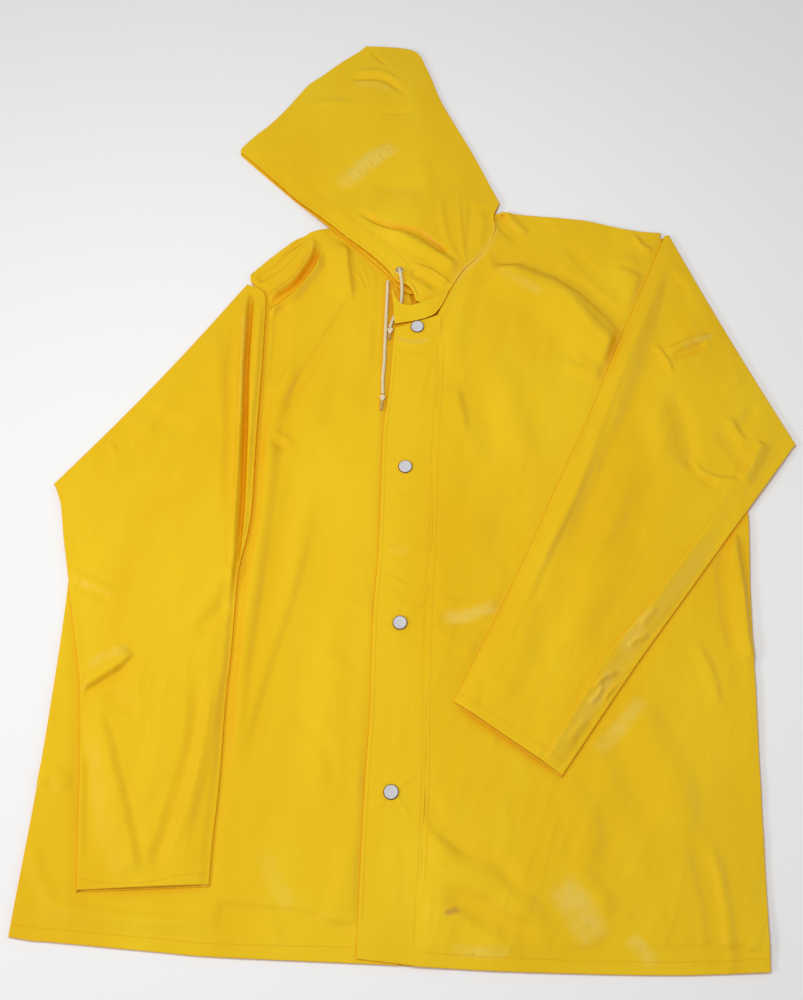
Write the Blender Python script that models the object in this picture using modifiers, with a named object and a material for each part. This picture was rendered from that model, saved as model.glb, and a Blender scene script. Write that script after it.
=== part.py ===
"""A hooded raincoat of coated cloth, lying flat on its back.

The coat is drawn in millimetres on axes of its own: x runs across it, from the line of the
front snaps towards the wearer's left; y runs up it, from the hem; z is the height over the
floor. Every piece is a wall of cloth. The back lies on the floor and the fronts on the back.
Each sleeve is a tube, turned over at a fold line so that it lies on the fronts. The hood is
two halves, seamed from brow to nape, and one lies on the other.
"""
import math
from collections import namedtuple

import bmesh
import bpy

MM = 0.001

# ---- walls and gaps, millimetres --------------------------------------------------
CLOTH = 1.4                 # wall of the coated cloth
BAND_CLOTH = 2.2            # the front band is doubled cloth
SEAM = 0.3                  # clear gap between pieces
STEP = CLOTH + SEAM         # from the underside of one layer to that of the next
TUBE = 2 * CLOTH + 0.6      # height of a sleeve pressed flat
FOLD_RADIUS = 1.5           # inside of the turn where a sleeve folds over

# ---- driving sizes ----------------------------------------------------------------
RIGHT_SIDE = -343           # x of the wearer's right side seam at the hem
LEFT_SIDE = 354.5           # x of the left side seam at the hem
BAND_LEFT = -22             # x of the band's free edge
BAND_RIGHT = 33             # x of the seam between the band and the left front
UNDERLAP = 16               # x that the right front reaches, under the band
NAPE = (88.8, 822)
BROW = (-210, 901)          # the hood's peak
CROWN = (-71, 1067)         # where the hood's top turns into its back
CHIN = (4, 704)

# about 172 apart; the cloth lies a little askew, so they are not quite in line
SNAPS = [(7, 670), (1, 498), (3, 324), (2, 153)]
SNAP_PROFILE = [(0, 2.3), (4.5, 1.8), (6.0, 1.3), (6.9, 1.6), (7.5, 1.0), (7.2, 0), (0, 0)]

CORD_RADIUS = 1.75
EYELET = (-16, 741)
EYELET_PROFILE = [(2.4, 0.0), (2.4, 0.6), (3.4, 1.0), (4.4, 0.6), (4.4, 0.0)]

# the middle of the coat's footprint, which is set at the origin
MIDDLE = (23.9, 531.1)

# rows of the body panels' grids, closer together towards the shoulders, and the shares of a
# panel's side edges at which the underarms, the shoulder tips and the neckline are reached
ROWS = 30
BODY_DENSE = (18 / 30, 0.8)
UNDERARM_RIGHT = 0.8 * 12 / 18
UNDERARM_LEFT = 0.8 * 14 / 18
TIPS = 58 / 60
NECK_SHARE = 0.8


def beside(points, gap):
    """The points moved to the left of their path by the gap."""
    moved = []
    for k, (x, y) in enumerate(points):
        (ax, ay), (bx, by) = points[max(k - 1, 0)], points[min(k + 1, len(points) - 1)]
        run = math.hypot(bx - ax, by - ay)
        moved.append((x - gap * (by - ay) / run, y + gap * (bx - ax) / run))
    return moved


# ---- sleeves: outlines of the part that is turned over, and how full it is --------
Sleeve = namedtuple("Sleeve", "name armhole fold top_edge under_edge across fullness slope pleat")
SLEEVE_LEFT = Sleeve(
    name="sleeve_left",
    armhole=[(280, 800), (358.5, 538)],
    fold=[(285.6, 802.9), (411.6, 540.9)],
    top_edge=[(285.6, 802.9), (266, 750), (231, 661), (198, 569), (166, 491), (120, 376), (61, 245)],
    under_edge=[(411.6, 540.9), (358.5, 465), (328.5, 422), (290.5, 367), (234.5, 286), (164.5, 178)],
    across=[0.0, 0.04, 0.1, 0.2, 0.32, 0.44, 0.56, 0.68, 0.80, 0.9, 0.96, 1.0],
    fullness=2.2,
    slope=40,
    pleat=0.0,
)
SLEEVE_RIGHT = Sleeve(
    name="sleeve_right",
    armhole=[(-181, 712.9), (-342.5, 458)],
    fold=[(-183, 715), (-364, 460)],
    top_edge=[(-183, 715), (-174, 708), (-168, 692), (-164, 602), (-162, 524), (-161, 430),
              (-168, 368), (-166, 241), (-163, 82), (-165.5, 60)],
    under_edge=[(-364, 460), (-355, 438), (-346, 405), (-336, 362), (-321, 302), (-309, 248), (-298, 171),
                (-283, 50)],
    across=[0.0, 0.025, 0.055, 0.09, 0.12, 0.17, 0.27, 0.41, 0.56, 0.71, 0.86, 1.0],
    fullness=3.0,
    slope=70,
    pleat=1.0,
)
# the right sleeve's top edge is pleated from the shoulder down to about the elbow
PLEAT_TOP = 430
PLEAT_END = 290
Pleat = namedtuple("Pleat", "height half_width from_edge")
PLEATS = [Pleat(2.2, 6, 5), Pleat(3.0, 8, 19)]

# ---- outlines, short paths of (x, y) ----------------------------------------------
HEM = [(RIGHT_SIDE, 5.5), (-300, 2.5), (-200, -2), (-150, -3.8), (0, -3.8), (115, -4.8), (260, -1.8),
       (LEFT_SIDE, 5)]
SIDE_RIGHT = [(RIGHT_SIDE, 5.5), (-337, 170), (-336, 300), (-342, 458)]
SIDE_LEFT = [(LEFT_SIDE, 5), (356, 250), (359, 460), (358, 538)]
ARMHOLE_RIGHT = [(-342, 458), (-177, 718.3)]
ARMHOLE_LEFT = [(358, 538), (278.9, 802.3)]
TIP_RIGHT = [(-177, 718.3), (-182, 722.5), (-183, 731)]
TIP_LEFT = [(278.9, 802.3), (280, 807)]
SHOULDER_RIGHT = [(-183, 731), (-157, 759), (-130, 784), (-102, 797), (-62, 804)]
SHOULDER_LEFT = [(90.5, 823), (98, 827), (150, 825), (196, 821), (241, 811), (280, 807)]
NECKLINE = [(BAND_RIGHT + 0.15, 688), (43, 721), (56, 746), (69, 761), (80, 775), (87.5, 789), (91.5, 806),
            (90.5, 823)]
UNDER_NECKLINE = [(UNDERLAP, 664), (0, 700), (-10, 735), (-35, 770), (-62, 804)]
BAND_EDGE = [(BAND_LEFT, 3), (-23, 156), (-22, 235), (-24, 329), (-22, 405), (-24, 528), (-20, 600),
             (-18, 668)]
BAND_TOP = [(-18, 668), (0, 674), (18, 681), (BAND_RIGHT - 0.15, 687.5)]
HOOD_FACE = [CHIN, (-1, 718), (-9, 725), (-18, 728), (-29, 745), (-50, 765), (-73, 783), (-97, 803),
             (-137, 836), (-181, 877), BROW]
HOOD_TOP = [BROW, (-204, 914), (-190, 932), (-161, 969), (-128, 1012), (-101, 1040), CROWN]
HOOD_BACK = [(94, 839), (64, 902), (43, 945), (23, 989), (5, 1033), (-14, 1062), CROWN]
HOOD_NECK = beside(NECKLINE[1:-1], 0.8) + [NAPE, HOOD_BACK[0]]
UNDER_FACE = [(-20, 722), (-29, 735), (-50, 755), (-72, 775), (-114, 809), (-181, 870), (-210, 898)]
UNDER_TOP = [(-210, 898)] + HOOD_TOP[1:]
CORNER_LOW = [(-18, 672), (0, 677), (18, 683), (28, 688.5), (35, 698), (38.5, 711)]
CORNER_TOP = [(-23, 716), (-15, 700), (-4, 696), (8, 699), (22, 708), (39, 721)]

# ---- folds: a row for each, a ridge along a path of (x, y) ------------------------
Fold = namedtuple("Fold", "name height half_width path")
FOLDS_RIGHT = [
    Fold("beside the sleeve", 4.0, 22, [(-116, 700), (-124, 600), (-130, 450), (-128, 300)]),
    Fold("from the neck", 3.5, 22, [(-72, 740), (-76, 620), (-80, 480), (-84, 330)]),
    Fold("low", 2.5, 24, [(-122, 330), (-124, 200), (-118, 60)]),
    Fold("at the band", 2.0, 20, [(-70, 420), (-74, 250), (-70, 90)]),
    Fold("over the hem", 3.0, 20, [(-330, 28), (-240, 14), (-150, 22), (-60, 12)]),
    Fold("at the side", 3.0, 18, [(-350, 160), (-320, 150), (-300, 158)]),
    Fold("outer shoulder", 6.0, 13, [(-180, 734), (-150, 748), (-122, 800)]),
    Fold("inner shoulder", 6.0, 13, [(-165, 700), (-138, 716), (-116, 740), (-98, 788)]),
]
FOLDS_LEFT = [
    Fold("shoulder diagonal", 5.5, 24, [(80, 772), (135, 738), (165, 722), (205, 672), (250, 630)]),
    Fold("upper diagonal", 3.0, 16, [(180, 735), (205, 708), (245, 668)]),
    Fold("chest", 2.5, 26, [(60, 640), (95, 560), (110, 470)]),
    Fold("waist", 2.5, 22, [(60, 360), (70, 440), (90, 500)]),
    Fold("low diagonal", 3.0, 26, [(50, 150), (120, 90), (180, 20)]),
    Fold("over the hem", 2.5, 26, [(180, 110), (250, 60), (330, 30)]),
    Fold("side leaf", 4.0, 18, [(338, 450), (345, 380), (340, 300), (300, 230)]),
    Fold("low side", 3.0, 18, [(300, 140), (318, 80), (325, 10)]),
]
FOLDS_BAND = [
    Fold("ripple", 1.5, 12, [(-40, 440), (5, 432), (50, 440)]),
    Fold("ripple", 2.0, 13, [(-40, 408), (5, 398), (50, 405)]),
    Fold("ripple", 1.8, 13, [(-40, 372), (5, 360), (50, 370)]),
    Fold("ripple", 1.6, 12, [(-40, 285), (5, 296), (50, 290)]),
    Fold("ripple", 1.5, 14, [(-40, 120), (5, 112), (50, 125)]),
]
FOLDS_HOOD = [
    Fold("drape at the neck", 6.0, 17, [(-60, 792), (-15, 781), (15, 769), (40, 753), (66, 740)]),
    Fold("cheek", 4.0, 30, [(-100, 845), (-45, 880), (10, 935)]),
    Fold("crown", 3.5, 26, [(-130, 980), (-50, 1008), (20, 970)]),
    Fold("nape", 3.0, 16, [(66, 752), (72, 800), (40, 880)]),
]
FOLDS_SLEEVE_RIGHT = [
    Fold("elbow beak", 3.0, 16, [(-318, 244), (-288, 264), (-250, 284)]),
    Fold("elbow crease", 2.0, 14, [(-335, 352), (-290, 342), (-240, 350)]),
    Fold("inner crease", 2.5, 16, [(-216, 300), (-190, 345), (-172, 385)]),
    Fold("along the cuff", 2.0, 16, [(-225, 290), (-232, 180), (-245, 50)]),
]
FOLDS_SLEEVE_LEFT = [
    Fold("seam strip", 1.2, 12, [(345, 480), (278, 392), (211, 303), (149, 191)]),
    Fold("shoulder crease", 2.5, 14, [(270, 640), (305, 662), (345, 684)]),
    Fold("elbow crease", 2.0, 14, [(320, 650), (345, 605), (385, 580)]),
    Fold("underarm", 2.5, 14, [(345, 480), (366, 520), (372, 580)]),
]

# ---- finishes: colour (sRGB), roughness, metallic ---------------------------------
Finish = namedtuple("Finish", "colour roughness metallic")
COATED_CLOTH = Finish((0.93, 0.75, 0.11), 0.42, 0.0)
SNAP_CAP = Finish((0.82, 0.82, 0.84), 0.30, 0.0)
EYELET_METAL = Finish((0.78, 0.76, 0.70), 0.35, 1.0)
CORD_COTTON = Finish((0.91, 0.84, 0.62), 0.90, 0.0)


# ---- small geometry ---------------------------------------------------------------
def ease(low, high, value):
    """0 below low and 1 above high, with a smooth step between them."""
    t = min(max((value - low) / (high - low), 0.0), 1.0)
    return t * t * (3.0 - 2.0 * t)


def bump(distance, half_width):
    """1 on a ridge's crest, falling smoothly to 0 at its half width."""
    return max(1.0 - (distance / half_width) ** 2, 0.0) ** 2


def mix(a, b, t):
    return tuple(p + (q - p) * t for p, q in zip(a, b))


def follow(points, spans=6):
    """A walk on a smooth curve through the points: share 0 is its start and 1 its end."""
    ends = [points[0]] + list(points) + [points[-1]]
    path = []
    for k in range(1, len(ends) - 2):
        for n in range(spans):
            t = n / spans
            path.append(tuple(
                0.5 * (2 * b + (c - a) * t + (2 * a - 5 * b + 4 * c - d) * t * t
                       + (3 * b - a - 3 * c + d) * t ** 3)
                for a, b, c, d in zip(*ends[k - 1:k + 3])))
    path.append(tuple(points[-1]))
    travelled = [0.0]
    for a, b in zip(path, path[1:]):
        travelled.append(travelled[-1] + math.dist(a, b))

    def at(share):
        goal = min(max(share, 0.0), 1.0) * travelled[-1]
        k = 1
        while k < len(path) - 1 and travelled[k] < goal:
            k += 1
        return mix(path[k - 1], path[k], (goal - travelled[k - 1]) / (travelled[k] - travelled[k - 1]))

    at.length = travelled[-1]
    return at


def edge(*runs):
    """A panel's edge of one or more runs, each with the share of the edge where it ends."""
    walks = [(share, follow(points)) for share, points in runs]

    def at(share):
        start = 0.0
        for end, walk in walks:
            if share <= end:
                break
            start = end
        return walk((share - start) / (end - start))

    return at


def nearest(path, x, y):
    """Distance from (x, y) to a path, and how far along the path that is, 0 to 1."""
    best, place_on_path = 1e9, 0.0
    for k, ((ax, ay), (bx, by)) in enumerate(zip(path, path[1:])):
        dx, dy = bx - ax, by - ay
        t = min(max(((x - ax) * dx + (y - ay) * dy) / (dx * dx + dy * dy), 0.0), 1.0)
        distance = math.hypot(x - ax - t * dx, y - ay - t * dy)
        if distance < best:
            best, place_on_path = distance, (k + t) / (len(path) - 1)
    return best, place_on_path


def depth(outline, x, y):
    """How far (x, y) is inside a closed outline; negative outside it."""
    closed = outline + outline[:1]
    inside = False
    for (ax, ay), (bx, by) in zip(closed, closed[1:]):
        if (ay > y) != (by > y) and x < ax + (bx - ax) * (y - ay) / (by - ay):
            inside = not inside
    distance = nearest(closed, x, y)[0]
    return distance if inside else -distance


def lift(folds, x, y):
    """Height that the folds add at (x, y): a soft ridge along each path, faded at its ends."""
    total = 0.0
    for fold in folds:
        distance, place_on_path = nearest(fold.path, x, y)
        ends = ease(0.0, 0.22, place_on_path) * ease(0.0, 0.22, 1.0 - place_on_path)
        total += fold.height * ends * bump(distance, fold.half_width)
    return total


# ---- heights of the undersides ----------------------------------------------------
def plan_of(sleeve):
    return sleeve.top_edge + sleeve.under_edge[::-1]


PLAN_RIGHT = plan_of(SLEEVE_RIGHT)
PLAN_LEFT = plan_of(SLEEVE_LEFT)
PLAN_CORNER = CORNER_LOW + CORNER_TOP[::-1]
PLAN_HOOD = UNDER_FACE + [CROWN] + NECKLINE[::-1]
HOOD_SEAM = HOOD_TOP + HOOD_BACK[-2::-1]


def front_right_height(x, y):
    """Flat where a sleeve, the band or the hood lies on it, folded elsewhere."""
    covered = max(ease(-26, -16, depth(PLAN_RIGHT, x, y)),
                  ease(-14, -4, depth(PLAN_HOOD, x, y)),
                  ease(BAND_LEFT - 34, BAND_LEFT - 18, x))
    return STEP + (1.0 - covered) * lift(FOLDS_RIGHT, x, y)


def front_left_height(x, y):
    """It climbs to the band's level at the band seam and along the neckline."""
    covered = ease(-26, -15, depth(PLAN_LEFT, x, y))
    to_band = 1.0 - ease(BAND_RIGHT + 1, BAND_RIGHT + 22, x)
    to_neck = (1.0 - ease(4, 26, nearest(NECKLINE, x, y)[0])) * (1.0 - ease(775, 820, y))
    return STEP * (1.0 + max(to_band, to_neck)) + (1.0 - covered) * lift(FOLDS_LEFT, x, y)


def band_height(x, y):
    return 2 * STEP + lift(FOLDS_BAND, x, y)


def hood_under_height(x, y):
    """On the floor beyond the shoulders, and on the back and the right front before them."""
    shoulder_line = 795 + (x + 97) * 0.15
    on_coat = 1.0 - ease(shoulder_line + 18, shoulder_line + 54, y)
    on_front = 1.0 - ease(-2, 34, x)
    return on_coat * STEP * (1.0 + on_front)


def hood_over_height(x, y):
    """A low dome over the other half, held down at the seam and under the turned corner."""
    from_seam = ease(0, 30, nearest(HOOD_SEAM, x, y)[0])
    from_corner = ease(2, 16, -depth(PLAN_CORNER, x, y))
    dome = 1.6 + lift(FOLDS_HOOD, x, y)
    return hood_under_height(x, y) + STEP + from_seam * from_corner * dome


def corner_height(x, y):
    """The turned corner of the hood: down on the band at its seam, and arched over the cord."""
    from_seam = ease(0, 9, nearest(CORNER_LOW, x, y)[0])
    over_cord = 1.0 - ease(-16, 2, x)
    return 2 * STEP + BAND_CLOTH + SEAM + 1.4 * max(from_seam, over_cord)


def sleeve_heights(sleeve, folds, point, from_top, width):
    """Undersides and tops of the part of a sleeve that is turned over."""
    x, y = point
    from_under = width - from_top
    at_fold = math.exp(-nearest(sleeve.fold, x, y)[0] / 20)
    lower = 2 * STEP + 2 * FOLD_RADIUS * at_fold
    swell = sleeve.fullness * ease(0, sleeve.slope, from_under) * ease(0, 16, from_top)
    pleated = sleeve.pleat * ease(PLEAT_END, PLEAT_TOP, y)
    swell += pleated * sum(p.height * bump(from_top - p.from_edge, p.half_width) for p in PLEATS)
    swell += lift(folds, x, y) * ease(0, 14, from_top) * ease(0, 14, from_under)
    return lower, lower + TUBE + (1.0 - at_fold) * swell


# ---- making objects ---------------------------------------------------------------
def linear(value):
    return value / 12.92 if value <= 0.04045 else ((value + 0.055) / 1.055) ** 2.4


def place(name, data, finish):
    """Adds an object to the coat, with a material of its own."""
    paint = bpy.data.materials.new(name)
    paint.use_nodes = True
    shader = paint.node_tree.nodes["Principled BSDF"]
    shader.inputs["Base Color"].default_value = (*map(linear, finish.colour), 1.0)
    shader.inputs["Roughness"].default_value = finish.roughness
    shader.inputs["Metallic"].default_value = finish.metallic
    data.materials.append(paint)
    thing = bpy.data.objects.new(name, data)
    thing.location = (-MIDDLE[0] * MM, -MIDDLE[1] * MM, 0.0)
    coat.objects.link(thing)
    return thing


def add_cloth(name, bm, thickness, offset):
    """An object from an open surface, with a wall over it (offset 1) or behind it (-1)."""
    mesh = bpy.data.meshes.new(name)
    bm.to_mesh(mesh)
    bm.free()
    mesh.shade_smooth()
    thing = place(name, mesh, COATED_CLOTH)
    wall = thing.modifiers.new("wall", "SOLIDIFY")
    wall.thickness = thickness * MM
    wall.offset = offset
    return thing


def panel(name, low, high, left, right, columns, rows, height, thickness=CLOTH, dense=(0.5, 0.5)):
    """Cloth on a grid between four edges. Its rows up to the first share of them, in dense,
    reach the second share of its height, so the rows above can be closer together."""
    corners = low(0), low(1), high(0), high(1)
    bm = bmesh.new()
    bmesh.ops.create_grid(bm, x_segments=columns, y_segments=rows, size=0.5)
    for vertex in bm.verts:
        u = vertex.co.x + 0.5
        v = vertex.co.y + 0.5
        if v < dense[0]:
            v *= dense[1] / dense[0]
        else:
            v = 1.0 - (1.0 - v) * (1.0 - dense[1]) / (1.0 - dense[0])
        x, y = (
            (1 - v) * bottom + v * top + (1 - u) * start + u * end
            - (1 - u) * (1 - v) * c0 - u * (1 - v) * c1 - (1 - u) * v * c2 - u * v * c3
            for bottom, top, start, end, c0, c1, c2, c3
            in zip(low(u), high(u), left(v), right(v), *corners))
        vertex.co = (x * MM, y * MM, height(x, y) * MM)
    bm.normal_update()
    if sum(face.normal.z for face in bm.faces) < 0:
        bmesh.ops.reverse_faces(bm, faces=bm.faces)
    return add_cloth(name, bm, thickness, 1)


def closing_arc(first, last, outward, count=3):
    """Points round the edge of a tube, between the ends of its two skins."""
    middle = mix(first, last, 0.5)
    arm = [(p - q) / 2 for p, q in zip(first, last)]
    size = math.hypot(*arm)
    points = []
    for k in range(1, count + 1):
        turn = math.pi * k / (count + 1)
        points.append([m + a * math.cos(turn) + o * size * math.sin(turn)
                       for m, a, o in zip(middle, arm, (*outward, 0.0))])
    return points


def tube_ring(sleeve, ends, skins):
    """One ring of a sleeve: its upper skin, an edge, its lower skin back, the other edge."""
    top_end, under_end = ends
    run = math.dist(top_end, under_end)
    outward = [(b - a) / run for a, b in zip(top_end, under_end)]
    inward = [-part for part in outward]
    pairs = [skins(mix(top_end, under_end, share), share * run, run) for share in sleeve.across]
    lower = [pair[0] for pair in pairs]
    upper = [pair[1] for pair in pairs]
    return (upper + closing_arc(upper[-1], lower[-1], outward)
            + lower[::-1] + closing_arc(lower[0], upper[0], inward))


def make_sleeve(sleeve, folds, root_rings=2, turn_rings=5, free_rings=15):
    """A tube from the armhole, flat on the floor, round the fold line and on to the cuff."""
    (ax, ay), (bx, by) = sleeve.fold
    run = math.hypot(bx - ax, by - ay)
    side = math.copysign(1.0, bx - ax)
    away = (side * (ay - by) / run, side * (bx - ax) / run)
    outer = TUBE + FOLD_RADIUS
    rings = []
    for k in range(root_rings):
        ends = [mix(a, b, k / root_rings) for a, b in zip(sleeve.armhole, sleeve.fold)]
        rings.append(tube_ring(sleeve, ends, lambda p, from_top, width: ((*p, TUBE), (*p, 0.0))))
    for k in range(turn_rings + 1):
        turn = math.pi * (k / turn_rings - 0.5)
        rings.append(tube_ring(sleeve, sleeve.fold, lambda p, from_top, width: [
            (p[0] + away[0] * r * math.cos(turn), p[1] + away[1] * r * math.cos(turn),
             outer + r * math.sin(turn)) for r in (FOLD_RADIUS, outer)]))
    top_edge = follow(sleeve.top_edge)
    under_edge = follow(sleeve.under_edge)
    for k in range(1, free_rings + 1):
        along = (k / free_rings) ** 1.1
        rings.append(tube_ring(sleeve, (top_edge(along), under_edge(along)), lambda p, from_top, width: [
            (*p, z) for z in sleeve_heights(sleeve, folds, p, from_top, width)]))

    bm = bmesh.new()
    loops = [[bm.verts.new([c * MM for c in point]) for point in ring] for ring in rings]
    for loop, following in zip(loops, loops[1:]):
        for k, corner in enumerate(loop):
            after = (k + 1) % len(loop)
            bm.faces.new((corner, loop[after], following[after], following[k]))
    bm.normal_update()
    highest = max(bm.faces, key=lambda face: face.calc_center_median().z)
    if highest.normal.z < 0:
        bmesh.ops.reverse_faces(bm, faces=bm.faces)
    return add_cloth(sleeve.name, bm, CLOTH, -1)


def turned(name, profile, at, finish, steps=20):
    """A piece turned about an upright axis, from a profile of (radius, height)."""
    points = [(r * MM, 0.0, h * MM) for r, h in profile]
    edges = [(k, k + 1) for k in range(len(points) - 1)]
    if profile[0][0] > 0:
        edges.append((len(points) - 1, 0))
    mesh = bpy.data.meshes.new(name)
    mesh.from_pydata(points, edges, [])
    thing = place(name, mesh, finish)
    thing.location.x += at[0] * MM
    thing.location.y += at[1] * MM
    thing.location.z += at[2] * MM
    screw = thing.modifiers.new("turn", "SCREW")
    screw.steps = steps
    screw.render_steps = steps
    screw.use_merge_vertices = True
    screw.merge_threshold = 0.00001
    return thing


def cord(name, route, swell=(1.0, 1.0), spacing=8.0):
    """A round cord on a smooth curve through its route; swell scales its radius along it."""
    path = follow(route)
    thickness = follow(list(enumerate(swell)))
    count = round(path.length / spacing)
    data = bpy.data.curves.new(name, "CURVE")
    data.dimensions = "3D"
    data.bevel_depth = CORD_RADIUS * MM
    data.bevel_resolution = 2
    data.use_fill_caps = True
    spline = data.splines.new("POLY")
    spline.points.add(count)
    for k, point in enumerate(spline.points):
        point.co = (*(c * MM for c in path(k / count)), 1.0)
        point.radius = thickness(k / count)[1]
    return place(name, data, CORD_COTTON)


# ---- the coat ---------------------------------------------------------------------
for old in list(bpy.data.objects):
    bpy.data.objects.remove(old, do_unlink=True)
coat = bpy.data.collections.new("hooded_raincoat")
bpy.context.scene.collection.children.link(coat)

right_edge = edge((UNDERARM_RIGHT, SIDE_RIGHT), (TIPS, ARMHOLE_RIGHT), (1.0, TIP_RIGHT))
left_edge = edge((UNDERARM_LEFT, SIDE_LEFT), (TIPS, ARMHOLE_LEFT), (1.0, TIP_LEFT))
hem = follow(HEM)


def hem_part(start, end):
    """The hem between two values of x."""
    wide = LEFT_SIDE - RIGHT_SIDE
    first, last = (start - RIGHT_SIDE) / wide, (end - RIGHT_SIDE) / wide
    return lambda share: (start + (end - start) * share, hem(first + (last - first) * share)[1])


panel("back_panel", hem_part(RIGHT_SIDE, LEFT_SIDE),
      edge((0.25, SHOULDER_RIGHT[:4]), (0.65, [(-97, 795), (90.5, 823)]), (1.0, SHOULDER_LEFT)),
      right_edge, left_edge, 20, ROWS, lambda x, y: 0.0, dense=BODY_DENSE)
panel("front_right", hem_part(RIGHT_SIDE, UNDERLAP), follow(SHOULDER_RIGHT), right_edge,
      edge((NECK_SHARE, [(UNDERLAP, -3.8), (UNDERLAP, 664)]), (1.0, UNDER_NECKLINE)),
      22, ROWS, front_right_height, dense=BODY_DENSE)
panel("front_left", hem_part(BAND_RIGHT + 0.15, LEFT_SIDE), follow(SHOULDER_LEFT),
      edge((NECK_SHARE, [(BAND_RIGHT + 0.15, -4), (BAND_RIGHT + 0.15, 688)]), (1.0, NECKLINE)),
      left_edge, 20, ROWS, front_left_height, dense=BODY_DENSE)
panel("front_band", hem_part(BAND_LEFT, BAND_RIGHT - 0.15), follow(BAND_TOP), follow(BAND_EDGE),
      follow([(BAND_RIGHT - 0.15, -4), (BAND_RIGHT - 0.15, 687.5)]),
      4, 50, band_height, BAND_CLOTH)
make_sleeve(SLEEVE_RIGHT, FOLDS_SLEEVE_RIGHT)
make_sleeve(SLEEVE_LEFT, FOLDS_SLEEVE_LEFT)

panel("hood_right", edge((0.25, [UNDER_FACE[0], (0, 713), (30, 722)]), (1.0, [(30, 722)] + HOOD_NECK[1:])),
      follow(UNDER_TOP), follow(UNDER_FACE), follow(HOOD_BACK), 16, 18, hood_under_height)
panel("hood_left", edge((0.2, [CHIN, (18, 697), (32, 701)]), (1.0, [(32, 701)] + HOOD_NECK)),
      follow(HOOD_TOP), follow(HOOD_FACE), follow(HOOD_BACK), 18, 20, hood_over_height)
panel("hood_corner", follow(CORNER_LOW), follow(CORNER_TOP), follow([CORNER_LOW[0], CORNER_TOP[0]]),
      follow([CORNER_LOW[-1], CORNER_TOP[-1]]), 10, 5, corner_height)

for number, snap in enumerate(SNAPS, start=1):
    turned(f"snap_{number}", SNAP_PROFILE, (*snap, 2 * STEP + BAND_CLOTH + SEAM), SNAP_CAP)

hood_face = hood_over_height(*EYELET) + CLOTH
turned("eyelet", EYELET_PROFILE, (*EYELET, hood_face + SEAM), EYELET_METAL, 16)

# the upper cord runs from the eyelet and under the turned corner, the lower one from below
# the hood's edge; each lies on the right front and ends in a knot with a short free end
on_front = 2 * STEP + CORD_RADIUS
cord("cord_upper", [(-16, 742, hood_face + 2.2), (-15, 737, hood_face + 3.9), (-14, 731, hood_face + 3.3),
                    (-12.8, 725, hood_face + 1.9), (-12, 715, 7.4), (-12, 706, on_front + 0.3),
                    (-14, 694, on_front), (-19, 682, on_front), (-22.4, 672, on_front),
                    (-23, 667.5, on_front + 0.4)], spacing=6)
cord("knot_upper", [(-23, 667, 2 * STEP + 2.9), (-23, 658, 2 * STEP + 2.9), (-23.2, 651, 2 * STEP + 2)],
     (0.75, 1.6, 1.5, 0.85, 0.9), 2.5)
cord("cord_lower", [(-28.6, 728.5, on_front), (-28.3, 700, on_front), (-28, 664, on_front),
                    (-27.5, 626, on_front), (-28, 601, on_front), (-27, 584.5, on_front + 0.4)])
cord("knot_lower", [(-27, 584, 2 * STEP + 2.9), (-27.2, 574, 2 * STEP + 2.9), (-28, 562, 2 * STEP + 2)],
     (0.75, 1.6, 1.5, 0.85, 0.9), 2.5)
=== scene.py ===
import math
from collections import namedtuple

import bpy
import numpy as np
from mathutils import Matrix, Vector
from mathutils.bvhtree import BVHTree


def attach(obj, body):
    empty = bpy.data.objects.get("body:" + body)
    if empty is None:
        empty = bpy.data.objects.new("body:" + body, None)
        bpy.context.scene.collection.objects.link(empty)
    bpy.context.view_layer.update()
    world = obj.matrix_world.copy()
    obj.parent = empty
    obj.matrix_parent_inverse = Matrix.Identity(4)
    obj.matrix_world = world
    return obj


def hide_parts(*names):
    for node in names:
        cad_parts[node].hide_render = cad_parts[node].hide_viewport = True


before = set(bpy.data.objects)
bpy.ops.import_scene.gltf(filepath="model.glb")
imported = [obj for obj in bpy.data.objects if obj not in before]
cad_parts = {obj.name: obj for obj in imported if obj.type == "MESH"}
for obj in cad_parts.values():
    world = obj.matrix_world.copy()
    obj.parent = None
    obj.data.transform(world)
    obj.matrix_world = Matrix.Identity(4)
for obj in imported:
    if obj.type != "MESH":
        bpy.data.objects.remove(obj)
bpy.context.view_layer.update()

# A hooded raincoat lies flat on its back, with its sleeves folded over its front. Its pieces are
# drawn in millimetres on the coat's own axes: x from the line of snaps towards the wearer's
# left, y up from the hem, z over the floor. MIDDLE is the point of the coat that is set at the
# origin.
MM = 0.001
MIDDLE = np.array([23.9, 531.1, 0.0])

# ---- levels of the visible cloth, mm over the floor --------------------------------
BACK_TOP = 1.4
FRONT_TOP = 3.1
BAND_TOP_LEVEL = 4.8
SLEEVE_UNDER = 3.15
HOOD_EDGE_LIFT = 3.1        # top of the hood's upper layer over the underside of the lower one

# ---- places on the coat, mm ----------------------------------------------------------
RIGHT_SIDE = -343
LEFT_SIDE = 354.5
BAND_LEFT = -22
BAND_RIGHT = 33
UNDERLAP = 16
NAPE = (88.8, 822)
BROW = (-210, 901)
CROWN = (-71, 1067)
CHIN = (4, 704)
SNAPS = [(7, 670), (1, 498), (3, 324), (2, 153)]
SNAP_BASE = 5.7             # height at the foot of a cap
EYELET = (-16, 741)
HOOD_AT_EYELET = 8.1
CORD_RADIUS = 1.75

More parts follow.
